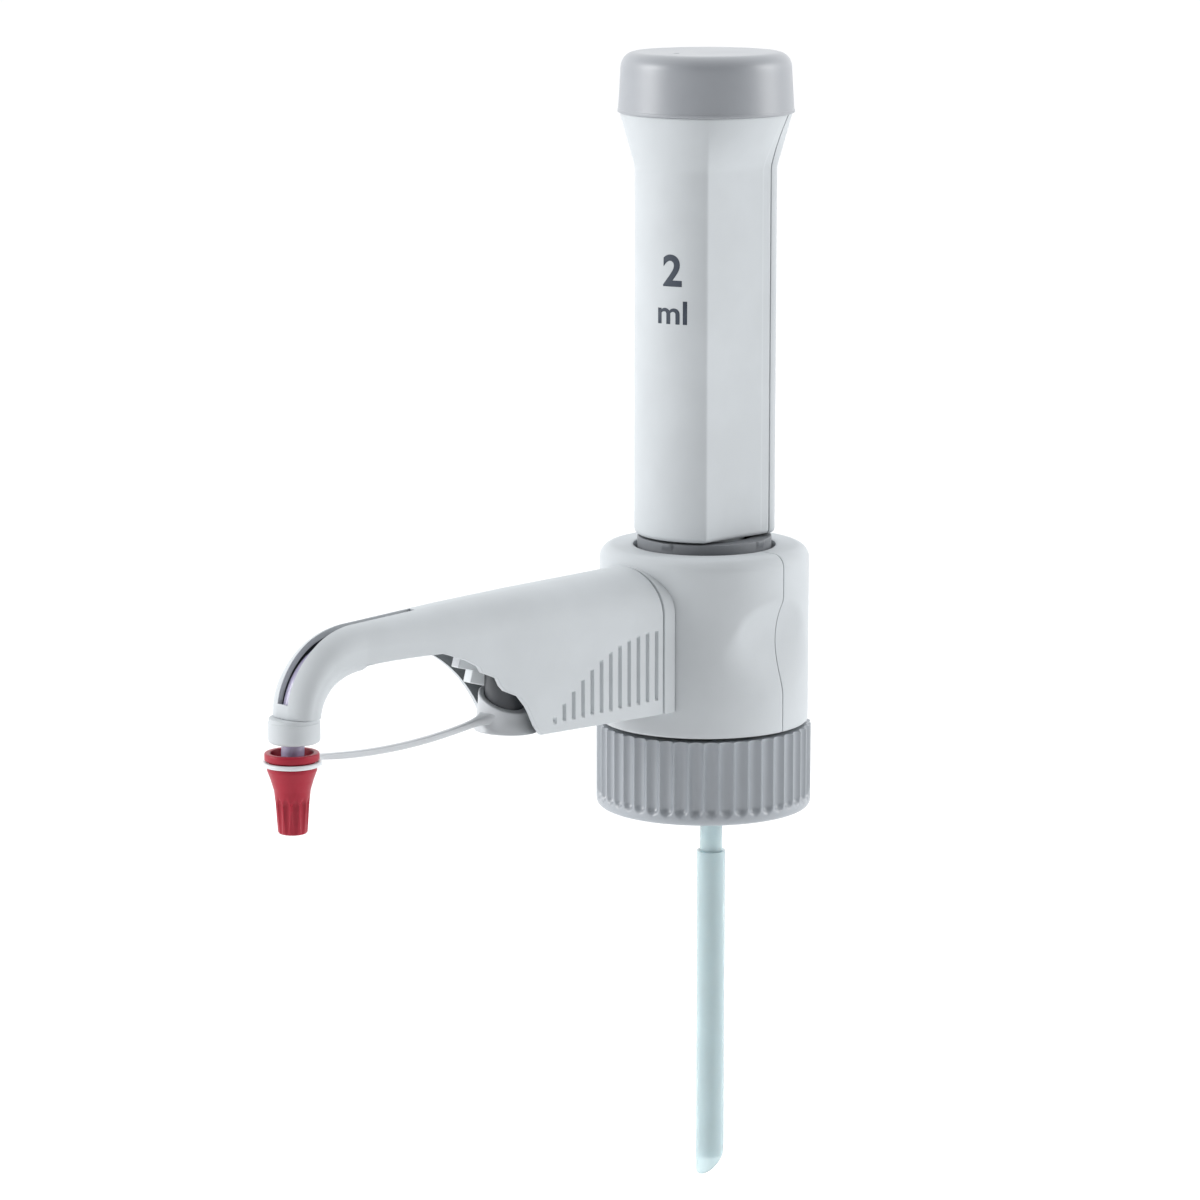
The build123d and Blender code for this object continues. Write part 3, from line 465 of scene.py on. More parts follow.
def seamed(grids, share, plane):
    """Both grids with their seam edges put exactly on the plane, and the shell's faces."""
    points = np.stack(grids)
    points[:, :, (share == 0) | (share == 1), 1] = plane
    kept = np.ones((points.shape[1] - 1, len(share) - 1), bool)
    return points, shell_faces(kept, close_columns=False)


def housing_shell(front):
    """Outer and inner grid of one shell. A column's angle runs between the two places where the
    wall crosses the seam's plane, asin(seam / radius), so both edges are straight."""
    rows = 130
    outer = rounded(
        [
            (housing_radius - 0.35, housing_foot), (housing_radius, housing_foot + 0.35),
            (housing_radius, housing_top), (housing_hole, housing_top),
            (housing_hole, housing_top - 0.9),
        ],
        [0, 0.3, 3.5, 0.5, 0],
        closed=False,
        steps=12,
    )
    inner_radius = housing_radius - housing_wall
    inner = np.array(
        [
            (inner_radius, housing_foot), (inner_radius, housing_top - housing_wall),
            (housing_hole, housing_top - housing_wall),
        ]
    )
    grids = []
    span = np.pi * housing_radius
    share = seam_columns(150, span)
    plane = housing_seam - seam_half if front else housing_seam + seam_half
    outer, inner = even(refine(outer, 0.4), rows), even(inner, rows)
    for outline, wall in ((outer, 0.0), (inner, housing_wall)):
        radius, height = outline[:, :1], outline[:, 1:2]
        start = np.arcsin(plane / radius)
        angle = seam_to_seam(front, start, share)
        sunk = radius - (0 if wall else seam_round(share, span)[None])
        x = scooped(sunk * np.cos(angle), height, wall)
        grids.append(np.stack([x, sunk * np.sin(angle), np.broadcast_to(height, x.shape)], -1))
    return seamed(grids, share, plane)


make_piece(
    "housing_shell_front", *housing_shell(True), "head", shell_finish, "pale_shell",
    ["housing_front"],
)
make_piece(
    "housing_shell_rear", *housing_shell(False), "head", shell_finish, "pale_shell",
    ["housing_rear"],
)

# %% [markdown]
# ## Guide collar
# Under the handle a grey collar stands in the housing's hole. Only its rim and four small nubs
# show, but its rim makes the shaded line that parts handle and housing. It is turned.

# %% Guide collar
collar_radius, collar_top, sleeve_hole = 17.6, 55.4, 10.7
nub_turn, nub_half, nub_depth = np.radians(12), 0.11, 0.4


def collar_shape(radius, height, angle):
    """Four nubs: the radius swells by a nub's depth where the angle is near a nub's angle and z
    is near the rim."""
    quarter = np.pi / 2
    off = (angle - nub_turn + quarter / 2) % quarter - quarter / 2
    nub = step_up(nub_half - np.abs(off), 0, 0.03) * step_up(height, 53.9, 54.3)
    return np.where(radius > collar_radius - 0.6, radius + nub_depth * nub, radius), height


collar_outline = rounded(
    [
        (sleeve_hole, 44.1), (15.0, 44.1), (collar_radius, 47.1), (collar_radius, collar_top),
        (12.6, collar_top), (12.6, 52.0), (sleeve_hole, 52.0),
    ],
    [0, 0, 0, 0.3, 0.3, 0, 0],
)
make_piece(
    "recessed_collar", *turned(collar_outline, 0.6, 360, shape=collar_shape), "head",
    collar_finish, "dark_plastic", ["guide_collar"],
)

# %% [markdown]
# ## Handle
# The handle is a tube with two flats, moulded as two shells. Its section is the overlap of a
# circle and two half planes, so the radius is soft_min(R, flat / |cos a|), and the soft minimum's
# width gives the narrow edge between flat and round. In the flare every radius changes evenly into
# the rim's circle: the flats lean outwards, and their edges stay upright and fade. The seam runs
# down both flats near their rear edge, and a fine step runs beside it.

# %% Handle shells
handle_radius, handle_wall, handle_flat = 18.4, 1.8, 13.5
handle_foot, handle_top = 55.9, 165.8
flare_start, flare_radius, flare_blend = 152.0, 22.3, 1.2
handle_seam, handle_edge, edge_softness = 10.5, 1.4, 0.42
step_width, step_depth, edge_count = 2.75, 0.12, 8
flat_corner = np.arccos(handle_flat / handle_radius)


def handle_section(angle, height, inset):
    """Radius at an angle and a height: soft_min(R, flat / |cos a|) in the barrel, and from there
    towards the rim's radius with the share of the flare's height that lies below."""
    softness = np.where(inset > handle_edge, 0.4, 1.0) * edge_softness
    flat = (handle_flat - inset) / np.maximum(np.abs(np.cos(angle)), 1e-3)
    barrel = soft_min(handle_radius - inset, flat, softness)
    above = height - flare_start
    eased = np.where(above < flare_blend, (above + flare_blend) ** 2 / (4 * flare_blend), above)
    rise = np.where(above < -flare_blend, 0, eased) / (handle_top - flare_start)
    return barrel + (flare_radius - 0.67 * inset - barrel) * np.clip(rise, 0, 1)


def seam_angle(height, inset, plane):
    """The angle at which the section reaches y = plane, found by halving: radius times the sine
    grows all the way from 0 to a quarter turn."""
    low = np.zeros_like(height)
    high = np.full_like(height, np.pi / 2)
    for _ in range(40):
        middle = (low + high) / 2
        y = handle_section(middle, height, inset) * np.sin(middle)
        low = np.where(y < plane, middle, low)
        high = np.where(y < plane, high, middle)
    return (low + high) / 2


barrel_rows = np.linspace(handle_foot + handle_edge, flare_start - 1.4, 34)
flare_rows = np.linspace(flare_start - 1.2, handle_top - 0.3, 44)
edge_turn = np.linspace(0, np.pi / 2, edge_count + 1)[:-1]
edge_rows = handle_foot + handle_edge * (1 - np.cos(edge_turn))
edge_inset = handle_edge * (1 - np.sin(edge_turn))
handle_height = np.r_[edge_rows, barrel_rows, flare_rows, handle_top]
handle_inset = np.r_[edge_inset, np.zeros(len(handle_height) - edge_count)]
handle_inset[-1] = 0.25


def handle_columns(first, last, count):
    """Shares between two angles, crowded near the four corners of the section: equal steps of
    a sum that counts each degree once, and up to nine times beside a corner."""
    fine = np.linspace(0, 1, 4000)
    angle = first + (last - first) * fine
    corners = np.array([flat_corner, -flat_corner, np.pi - flat_corner, np.pi + flat_corner])
    off = np.abs((angle[:, None] - corners[None] + np.pi) % (2 * np.pi) - np.pi).min(1)
    weight = 1 + 8 * np.exp(-((off / 0.06) ** 2))
    total = np.r_[0, np.cumsum(weight[1:])]
    return np.interp(np.linspace(0, total[-1], count), total, fine)


def handle_shell(front):
    """Outer and inner grid of one shell between its two seam edges. Each row's angles run from
    seam to seam, and the front shell sinks a little between the fine step and the seam."""
    plane = handle_seam - seam_half if front else handle_seam + seam_half
    rows = len(handle_height)
    middle = float(seam_angle(np.array([100.0]), 0.0, plane)[0])
    first, last = (-np.pi - middle, middle) if front else (middle, np.pi - middle)
    span = handle_radius * (last - first)
    share = handle_columns(first, last, 200 if front else 90)
    edge = np.array([0, 0.06, 0.14, 0.24, 0.8, 1.6, 2.35, 2.5, 2.65, 2.8, 3.2]) / span
    share = np.unique(np.r_[edge, share[(share > edge[-1]) & (share < 1 - edge[-1])], 1 - edge])
    from_seam = np.minimum(share, 1 - share)[None] * span
    grids = []
    for wall in (0.0, handle_wall):
        inset = ((handle_inset if wall == 0 else np.zeros(rows)) + wall)[:, None]
        height = handle_height[:, None].copy()
        if wall:
            height[:edge_count] = handle_foot
            height[edge_count - 1] = handle_foot + 0.2
        start = seam_angle(height, inset, plane)
        angle = seam_to_seam(front, start, share)
        radius = handle_section(angle, height, inset)
        if not wall:
            radius = radius - seam_round(share, span)[None]
            radius = radius - (step_depth * step_up(step_width - from_seam, 0, 0.3) if front else 0)
        x, y = radius * np.cos(angle), radius * np.sin(angle)
        grids.append(np.stack([x, y, np.broadcast_to(height, x.shape)], -1))
    return seamed(grids, share, plane)


make_piece(
    "handle_shell_front", *handle_shell(True), "plunger", shell_finish, "pale_shell",
    ["handle_front"],
)
make_piece(
    "handle_shell_rear", *handle_shell(False), "plunger", shell_finish, "pale_shell",
    ["handle_rear"],
)

# %% [markdown]
# ## Top cap
# A grey cap closes the handle. It is one turned piece with a large soft edge, a slight draft as
# any moulded cup has, a fine lip at its foot, and the small mark that the moulding gate left.

# %% Top cap
cap_foot, cap_top, cap_radius = 165.9, 181.4, 22.9
gate_mark, gate_radius, gate_depth = (0.0, -10.7), 0.9, 0.35


def cap_shape(radius, height, angle):
    """The gate mark: the top sinks where the distance to the mark is under its radius."""
    x, y = radius * np.cos(angle), radius * np.sin(angle)
    off = np.hypot(x - gate_mark[0], y - gate_mark[1])
    dent = gate_depth * step_up(gate_radius - off, 0, 0.35)
    return radius, np.where(height > cap_top - 0.5, height - dent, height)


cap_outline = rounded(
    [
        (0, cap_top), (cap_radius - 1.05, cap_top), (cap_radius - 0.17, cap_foot + 1.0),
        (cap_radius - 0.02, cap_foot + 0.7), (cap_radius, cap_foot), (20.6, cap_foot),
        (20.6, 179.2), (17.9, 179.2), (17.9, 162.4), (15.8, 162.4), (15.8, 179.2), (0, 179.2),
    ],
    [0, 3.8, 0.15, 0.15, 0.3, 0.2, 0.6, 0.6, 0.3, 0.3, 0.6, 0],
    closed=False,
    steps=10,
)
near_mark = np.linspace(9.6, 11.8, 12)
cap_outline = np.concatenate(
    [
        [[0, cap_top]],
        np.stack([np.r_[2:9:2, near_mark, 13:18:1.5], np.full(4 + 12 + 4, cap_top)], -1),
        refine(cap_outline[1:], 1.2),
    ]
)
make_piece(
    "grey_top_cap", *turned(cap_outline, None, 300, shape=cap_shape, closed=False), "plunger",
    cap_finish, "grey_cap", ["top_cap"],
)

# %% [markdown]
# ## Arm cover
# The arm is one long moulding: a dome with two skirts near the housing, a slim arch further out,
# and a closed bend that turns down to the nozzle. Its surface is a section carried along a path.
# Columns run from the belly's middle up one side, over the crown and down the other side; rows
# run from the housing to the nozzle. Where the arch is open below, the belly's faces are left
# out, and so are the crown's faces along the slot, and the shell builder closes every edge.

# %% The arm's path and sections
# distance from the axis, half width, crown height, dome height, floor height
arm_stations = np.array(
    [
        (28.4, 14.2, 50.3, 11.4, 12.0), (68.2, 11.5, 49.6, 9.2, 12.0),
        (92.0, 9.2, 48.9, 7.6, 33.0), (121.0, 6.6, 47.5, 5.7, 40.6),
    ]
)
arm_start, bend_start, bend_end = 28.4, 121.0, 138.3
bend_top, arm_end, bend_side, belly_lift = 41.2, 26.7, 0.6, 2.4
# turn in degrees, half width, depth outwards, depth inwards
bend_stations = np.array(
    [(0, 6.6, 6.3, 5.4), (30, 6.7, 6.1, 6.0), (60, 6.8, 5.3, 5.6), (90, 6.8, 4.8, 5.0)]
)
arm_hem, hem_height, skirt_end, hem_end = 13.4, 38.1, 68.2, 119.0
sweep_middle, sweep_end, hem_peak, hem_fall = (79.8, 28.6), (98.0, 37.9), 108.5, 0.0018
slot_start, slot_half, slot_wide, slot_lip, arm_wall = 101.0, 1.15, 1.95, 2.5, 1.5
# the near skirt's edge, where two ribs step down from the sweep: distance and height
step_edge = np.array(
    [
        (68.2, 13.4), (69.9, 15.8), (71.6, 19.5), (72.6, 21.2), (75.0, 24.1), (79.3, 26.0),
        (80.7, 27.5), (81.7, 29.6), (86.3, 31.6), (87.3, 33.2), (89.0, 34.2), (91.1, 35.3),
        (93.9, 36.4), (98.0, 37.9),
    ]
)
groove_first, groove_pitch, groove_count = 30.65, 3.03, 12
groove_half, groove_depth, groove_rise = 0.62, 0.85, 18.2


def circle_through(a, b, c):
    """Centre and radius of the circle through three points, from the two mid-lines."""
    a, b, c = np.array(a), np.array(b), np.array(c)
    matrix = 2 * np.array([b - a, c - a])
    centre = np.linalg.solve(matrix, [b @ b - a @ a, c @ c - a @ a])
    return centre, np.linalg.norm(a - centre)


sweep_centre, sweep_radius = circle_through((skirt_end, arm_hem), sweep_middle, sweep_end)


def hem(reach):
    """Height of the open arch's lower edge: level under the skirts, then an arc upwards, then
    the nearly level edge of the slim part."""
    drop = np.maximum(sweep_radius**2 - (reach - sweep_centre[0]) ** 2, 0)
    arc = sweep_centre[1] + np.sqrt(drop)
    slim = hem_height - hem_fall * (reach - hem_peak) ** 2
    return np.where(reach <= skirt_end, arm_hem, np.where(reach < sweep_end[0], arc, slim))


def stepped_hem(reach):
    """The near side's edge: the same, with two steps in the sweep."""
    stepped = np.interp(reach, step_edge[:, 0], step_edge[:, 1])
    return np.where((reach > skirt_end) & (reach < sweep_end[0]), stepped, hem(reach))


print("hem at the three given points:", hem(np.array([68.3, 79.8, 97.9])).round(2))

groove_at = groove_first + groove_pitch * np.arange(groove_count)
groove_rows = (groove_at[:, None] + np.array([-0.62, -0.42, -0.2, 0, 0.2, 0.42, 0.62])).ravel()
arm_reach = np.unique(
    np.r_[
        arm_start + np.array([0, 0.1, 0.22, 0.4, 0.9]), groove_rows, groove_at + groove_pitch / 2,
        np.linspace(65, skirt_end, 4), np.linspace(skirt_end, sweep_end[0], 40),
        step_edge[1:-1, 0], np.linspace(sweep_end[0], slot_start, 4),
        np.linspace(slot_start, hem_end, 16), np.linspace(hem_end, bend_start, 3),
    ]
)
slot_turn = np.arccos(slot_lip / (bend_top - arm_end))
arm_turn = np.unique(np.r_[np.radians(np.linspace(0, 90, 46)[1:]), slot_turn])
print(len(arm_reach), "rows along the arm and", len(arm_turn), "round the bend")

# %% [markdown]
# The section's half outline starts at the crown, follows an ellipse down to the widest place,
# runs straight down the flank and, in the bend, closes with a second ellipse. The grip grooves
# are pushed into the flanks: a groove's depth is a smooth window across its width times a window
# between its lower and upper end, and the upper ends follow a parabola.

# %% The arm's surface
dome_steps, flank_steps, belly_steps = 30, 62, 12


def arm_frame():
    """For every row: the origin's distance and height, the outward direction, the half width,
    the dome's height, the flank's length and the belly's depth."""
    values = [np.interp(arm_reach, arm_stations[:, 0], arm_stations[:, k]) for k in range(1, 5)]
    half, crown, dome, floor = values
    spring = crown - dome
    straight = np.stack(
        [arm_reach, spring, 0 * spring, 1 + 0 * spring, half, dome, spring - floor, 4 + 0 * spring],
        -1,
    )
    degrees = np.degrees(arm_turn)
    half, outwards, inwards = (
        np.interp(degrees, bend_stations[:, 0], bend_stations[:, k]) for k in (1, 2, 3)
    )
    wide, tall = bend_end - bend_start, bend_top - arm_end
    centre = np.stack(
        [bend_start + wide * np.sin(arm_turn), arm_end + tall * np.cos(arm_turn)], -1
    )
    out = np.stack([tall * np.sin(arm_turn), wide * np.cos(arm_turn)], -1)
    out /= np.linalg.norm(out, axis=1, keepdims=True)
    centre = centre + out * bend_side
    # near the open arch the flanks reach lower and the belly is flatter, so that both join
    longer = belly_lift * (1 - step_up(degrees, 0, 40))
    side = 2 * bend_side + longer
    dome, belly = outwards - bend_side, inwards - bend_side - longer
    bend = [centre[:, 0], centre[:, 1], out[:, 0], out[:, 1], half, dome, side, belly]
    return np.concatenate([straight, np.stack(bend, -1)])


def arm_half(inset, grooves, edge):
    """Points of one half of the arm, drawn in by the inset, with a rule for its lower edge."""
    rows = arm_frame()
    reach, height, out_reach, out_height, half, dome, side, belly = (
        rows[:, k : k + 1] for k in range(8)
    )
    is_open = np.arange(len(rows))[:, None] < len(arm_reach)
    half, dome, belly = half - inset, dome - inset, belly - inset
    turned_down = step_up(np.r_[0 * arm_reach, np.degrees(arm_turn)][:, None], 0, 45)
    slot_edge = np.arcsin((slot_half + (slot_wide - slot_half) * turned_down) / half)
    dome_share = np.linspace(0, 1, dome_steps)[None]
    angle = slot_edge + dome_share * (np.pi / 2 - slot_edge)
    dome_x, dome_up = half * np.sin(angle), dome * np.cos(angle)
    length = np.where(is_open, height - edge(reach), side)
    flank_share = np.unique(
        np.r_[np.linspace(0, 0.97, flank_steps - 4)[1:], 1 - np.array([0.016, 0.009, 0.004, 0])]
    )[None]
    flank_x, flank_up = half + 0 * flank_share, -length * flank_share
    turn = np.linspace(0, np.pi / 2, belly_steps)[1:][None]
    belly_x = np.where(is_open, half, half * np.cos(turn))
    belly_up = np.where(is_open, -length, -side - belly * np.sin(turn))
    x = np.concatenate([dome_x, flank_x, belly_x], axis=1)
    up = np.concatenate([dome_up, flank_up, belly_up], axis=1)
    z = height + up * out_height
    if inset == 0:
        left = length * (1 - flank_share)
        hem_near = np.clip(1 - left / 0.35, 0, 1) * is_open
        rounding = np.zeros_like(x)
        rounding[:, dome_steps : dome_steps + flank_share.shape[1]] = 0.25 * (
            1 - np.sqrt(1 - hem_near**2)
        )
        start_near = np.clip(1 - (reach - arm_start) / 0.4, 0, 1) * is_open
        rounding = rounding + 0.3 * (1 - np.sqrt(1 - start_near**2))
        scale = 1 - rounding / half
        x, up = x * scale, up - rounding * (up > 0)
        if grooves:
            index = np.clip(np.round((reach - groove_first) / groove_pitch), 0, groove_count - 1)
            off = np.abs(reach - groove_first - index * groove_pitch)
            share = index / (groove_count - 1)
            top = arm_hem + 3.9 + groove_rise * (1 - share**2)
            bottom = arm_hem + 3.9 - 1.5 * share
            window = step_up(groove_half - off, 0, 0.3) * is_open
            ends = step_up(z, bottom - 0.1, bottom + 0.6) * step_up(top + 0.1 - z, 0, 0.7)
            x = x - groove_depth * window * ends
    y = -(reach + up * out_reach)
    z = height + up * out_height
    return np.stack([x, y, z], -1)


def arm_grid(inset, grooves):
    """The whole arm: the far half mirrored, and the near half. The belly's middle belongs to
    both, and is kept on the near side only."""
    far = arm_half(inset, grooves, hem)[:, ::-1] * np.array([-1, 1, 1])
    return np.concatenate([far[:, 1:], arm_half(inset, grooves, stepped_hem)], axis=1)


arm_outer, arm_inner = arm_grid(0.0, True), arm_grid(arm_wall, False)
arm_rows, arm_columns = arm_outer.shape[:2]
kept = np.ones((arm_rows - 1, arm_columns), bool)
open_rows = np.zeros(arm_rows - 1, bool)
open_rows[: np.searchsorted(arm_reach, hem_end - 1e-6)] = True
belly_count = belly_steps - 1
belly_faces = np.r_[0 : belly_count - 1, arm_columns - belly_count - 1 : arm_columns]
kept[np.ix_(open_rows, belly_faces)] = False
crown_column = int(np.argmax((arm_outer[5, :-1, 0] < 0) & (arm_outer[5, 1:, 0] > 0)))
slot_rows = np.zeros(arm_rows - 1, bool)
slot_first = int(np.searchsorted(arm_reach, slot_start - 1e-6))
slot_last = len(arm_reach) + int(np.searchsorted(arm_turn, slot_turn - 1e-9))
slot_rows[slot_first:slot_last] = True
kept[slot_rows, crown_column] = False
arm_points = np.stack([arm_outer, arm_inner])
arm_faces = shell_faces(kept, close_columns=True)
# The arm's inner faces get the darker finish, which paints the shade inside the arm.
inside_faces = (arm_faces >= arm_rows * arm_columns).all(1)
make_piece(
    "arm_cover_shell", arm_points, arm_faces, "head", shell_finish, "pale_shell", ["arm_cover"],
    32, (inside_shade_finish, inside_faces),
)

# %% [markdown]
# ## Arm base
# Between arm cover and housing sits a slice with the same outline. The fine dark line between the
# two is a real gap, so the slice is a piece of its own, with rounded edges on the line's side. It
# ends inside the housing's wall, which hides its rear.

# %% Arm base
base_front, base_rear = 27.9, 24.3


def arch_outline(inset, count=120):
    """Half ellipse, two straight sides and a level foot, from foot to foot, as (x, z)."""
    half, crown, dome = arm_stations[0][1:4]
    spring = crown - dome
    turn = np.linspace(0, np.pi, count)
    arch = np.stack([(half - inset) * np.cos(turn), spring + (dome - inset) * np.sin(turn)], -1)
    foot = arm_hem + inset
    sides = [[(half - inset, foot)], arch, [(inset - half, foot)]]
    return refine(np.concatenate(sides), 0.9, closed=True)


base_rings = []
for inset, reach in (
    (6.0, base_rear), (0.0, base_rear), (0.0, base_front - 0.4), (0.07, base_front - 0.16),
    (0.3, base_front), (6.0, base_front),
):
    ring = even(np.concatenate([arch_outline(inset), arch_outline(inset)[:1]]), 241)[:-1]
    base_rings.append(np.stack([ring[:, 0], np.full(240, -reach), ring[:, 1]], -1))
base_points = np.stack(base_rings)
make_piece(
    "arm_base_slice", base_points, grid_faces(6, 240, close_rows=True), "head", shell_finish,
    "pale_shell", ["arm_base"],
)

# %% [markdown]
# ## Nozzle collar and discharge tube
# The bend ends in a plain collar. The discharge tube runs from the valve through the arm, turns
# down in the bend and comes out of the collar as the nozzle. A pipe is a circle carried along a
# path; the path here is five straight runs joined by arcs, worked out with the same `rounded`.
# The last run leans outwards a little, from the middle of the bend to the nozzle's place.

# %% Nozzle collar and tube
nozzle_reach, collar_reach = 140.0, 139.2
collar_end = rounded(
    [(6.4, 20.4), (6.4, 25.4), (6.2, 25.7), (6.2, 26.6), (3.75, 26.6), (3.75, 20.4)],
    [0.9, 0.15, 0.15, 0.3, 0, 0.3],
)
make_piece(
    "nozzle_end_collar", *turned(collar_end, 0.8, 120, (0, -collar_reach)), "head", shell_finish,
    "pale_shell", ["nozzle_collar"],
)


def pipe(path, outer, inner, count=40):
    """A tube with its bore: rings of the outer radius out, rings of the inner radius back.
    The path lies in the plane x = 0, so a ring's two directions are x and the path's normal."""
    heading = np.gradient(path, axis=0)
    heading /= np.linalg.norm(heading, axis=1, keepdims=True)
    normal = np.stack([-heading[:, 1], heading[:, 0]], -1)
    angle = np.arange(count) * 2 * np.pi / count
    grids = []
    for radius in (outer, inner):
        x = np.broadcast_to(radius * np.cos(angle), (len(path), count))
        yz = path[:, None] + radius * np.sin(angle)[None, :, None] * normal[:, None]
        grids.append(np.concatenate([x[..., None], yz], -1))
    points = np.concatenate([grids[0], grids[1][::-1]])
    return points, grid_faces(2 * len(path), count, close_rows=True)


tube_path = rounded(
    [(-27.4, 30.0), (-37.4, 30.0), (-88.0, 41.6), (-138.5, 41.6), (-140.0, 12.5), (-140.0, 4.0)],
    [0, 24, 60, 16, 20, 0], closed=False, steps=24,
)
tube_points, tube_faces = pipe(refine(tube_path, 2.5), 2.85, 1.6)
make_piece(
    "lilac_discharge_tube", tube_points, tube_faces, "head", lilac_finish, "lilac_tube",
    ["discharge_tube"],
)

# %% [markdown]
# ## Strap post and tube guide
# Between the skirts a dark post carries the strap's eyelet, and two white tabs guide the tube.
# Both hang from plates that are wedged between the skirts. They are prisms and a turned barrel;
# a Bevel modifier breaks their edges, which is the quickest way for a plain block.


# %% Post and guide
def prism(outline, low, high, axis):
    """A flat outline pushed along an axis from low to high, closed with a fan at both ends."""
    outline = np.asarray(outline, float)
    count = len(outline)
    ends = []
    for level in (low, high):
        filled = np.concatenate([np.repeat(outline.mean(0)[None], count, 0), outline])
        ends.append(np.insert(filled, axis, level, axis=1))
    points = np.concatenate([ends[0], ends[1][count:], ends[1][:count]])
    return points, grid_faces(4, count)


def bevelled(piece, width):
    """Breaks a piece's edges with a Bevel modifier."""
    edge = piece.modifiers.new("broken_edges", "BEVEL")
    edge.width = width * MM
    edge.segments = 3
    edge.limit_method = "ANGLE"
    edge.harden_normals = True


post_reach, post_radius = 70.5, 5.0
barrel = rounded([(0, 17.0), (post_radius, 17.0), (post_radius, 31.0), (0, 31.0)], [0, 0.7, 0, 0])
post_barrel = turned(barrel, 2.0, 96, (0, -post_reach), closed=False)
post_plate = prism([(-9.1, -75.5), (9.1, -75.5), (9.1, -65.5), (-9.1, -65.5)], 31.0, 33.0, 2)
post = make_piece(
    "dark_strap_post", *joined(post_barrel, post_plate), "head", dark_finish, "dark_plastic",
    ["strap_post"],
)
bevelled(post, 0.25)
high_tab = prism([(-86.4, 34.6), (-81.6, 34.6), (-81.8, 30.3), (-87.3, 31.8)], -1.4, 1.4, 0)
low_tab = prism([(-81.2, 34.6), (-78.2, 34.6), (-78.5, 26.0), (-83.3, 27.4)], -1.4, 1.4, 0)
guide_plate = prism([(-78.2, 34.4), (-78.2, 36.6), (-87, 36.6), (-87, 34.4)], -8.0, 8.0, 0)
guide = make_piece(
    "stepped_tube_guide", *joined(high_tab, low_tab, guide_plate), "head", insert_finish,
    "white_insert", ["tube_guide"],
)
bevelled(guide, 0.25)

# %% [markdown]
# ## Strap
# The strap is one soft white moulding: an eyelet that snaps onto the post, a thin band, and a
# loop that sits in the cap's groove. The eyelet's rim slopes, high towards the far side. The band
# sags between its ends and widens where it grows out of the eyelet. Only the band bends, so the
# eyelet, the band and the loop are three pieces: the eyelet rides with the head, the loop with the
# strap ring, and the band has no body.

# %% Eyelet, band and loop
eyelet_low, eyelet_near, eyelet_far = 13.5, 18.7, 24.4
eyelet_inner, eyelet_outer, eyelet_foot = 5.1, 6.7, 1.3


def eyelet_shape(radius, height, angle):
    """The rim's height falls evenly with x, and everything between foot and rim is stretched.
    Outside, the wall widens towards the foot like a bell, most of all towards +X, where the
    foot reaches the skirt."""
    share = (height - eyelet_low) / (eyelet_far - eyelet_low)
    slope = (1 - radius * np.cos(angle) / eyelet_outer) / 2
    rim = eyelet_near + (eyelet_far - eyelet_near) * slope
    flare = eyelet_foot * (1 + 1.3 * np.maximum(np.cos(angle), 0) ** 3)
    bell = flare * (1 - np.clip(share, 0, 1)) ** 2 * (radius > eyelet_inner + 0.8)
    return radius + bell, eyelet_low + share * (rim - eyelet_low)


eyelet_outline = ring_profile(
    eyelet_outer, eyelet_inner, eyelet_low, eyelet_far, [0.6, 0.6, 0.4, 0.3]
)
make_piece(
    "strap_eyelet", *turned(eyelet_outline, 0.8, 160, (0, -post_reach), eyelet_shape), "head",
    strap_finish, "white_strap", ["strap_clip"],
)

loop_inner, loop_outer, loop_low, loop_high = 6.05, 7.4, 14.75, 15.85
loop_outline = ring_profile(loop_outer, loop_inner, loop_low, loop_high, [0.5, 0.5, 0.4, 0.4])
make_piece(
    "strap_cap_loop", *turned(loop_outline, 0.6, 160, (0, -nozzle_reach)),
    "strap_ring", insert_finish, "white_strap", ["strap_loop"],
)

band_start, band_end, band_sag = (-77.3, 17.2), (-132.45, 15.7), 2.2
band_middle = ((band_start[0] + band_end[0]) / 2, (band_start[1] + band_end[1]) / 2 - band_sag)
band_centre, band_radius = circle_through(band_start, band_middle, band_end)


def strap_band(rows=120, columns=28):
    """A rounded rectangle carried along an arc. Its half width falls from the eyelet's flare to
    1 mm as 1 + 2.4 exp(-s / 2), with s the way along the band, and grows again at the loop."""
    y = np.linspace(band_start[0] + 0.9, band_end[0] - 0.5, rows)[:, None]
    z = band_centre[1] - np.sqrt(band_radius**2 - (y - band_centre[0]) ** 2)
    along, back = band_start[0] + 0.9 - y, y - band_end[0] + 0.5
    half_width = 1.0 + 2.4 * np.exp(-along / 2.0) + 1.1 * np.exp(-back / 1.2)
    half_thick = 0.85 + 1.0 * np.exp(-along / 2.2) - 0.15 * step_up(-back, -8, 0)
    turn = np.arange(columns) * 2 * np.pi / columns
    power = 0.55
    cos, sin = np.cos(turn), np.sin(turn)
    x = half_width * np.sign(cos) * np.abs(cos) ** power
    up = half_thick * np.sign(sin) * np.abs(sin) ** power
    points = np.stack([x, np.broadcast_to(y, x.shape), z + up], -1)
    first, last = points[:1].mean(1, keepdims=True), points[-1:].mean(1, keepdims=True)
    first, last = np.repeat(first, columns, 1), np.repeat(last, columns, 1)
    points = np.concatenate([first, points, last])
    return points, grid_faces(rows + 2, columns)


band = make_piece("strap_band", *strap_band(), None, strap_finish, "white_strap", ["strap"])
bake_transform(band)

# %% [markdown]
# ## Nozzle cap
# The red cap hangs on the strap's loop: a flange, the loop's groove, a bead, a cone and a ribbed
# grip. Its mouth is wide, so the nozzle is seen going into a dark red well. The grip's hollows
# are the same rule as the ring's flutes, with other numbers.

# %% Nozzle cap
cap_hollows, hollow_radius, hollow_centre, grip_top = 12, 1.15, 4.65, 8.2


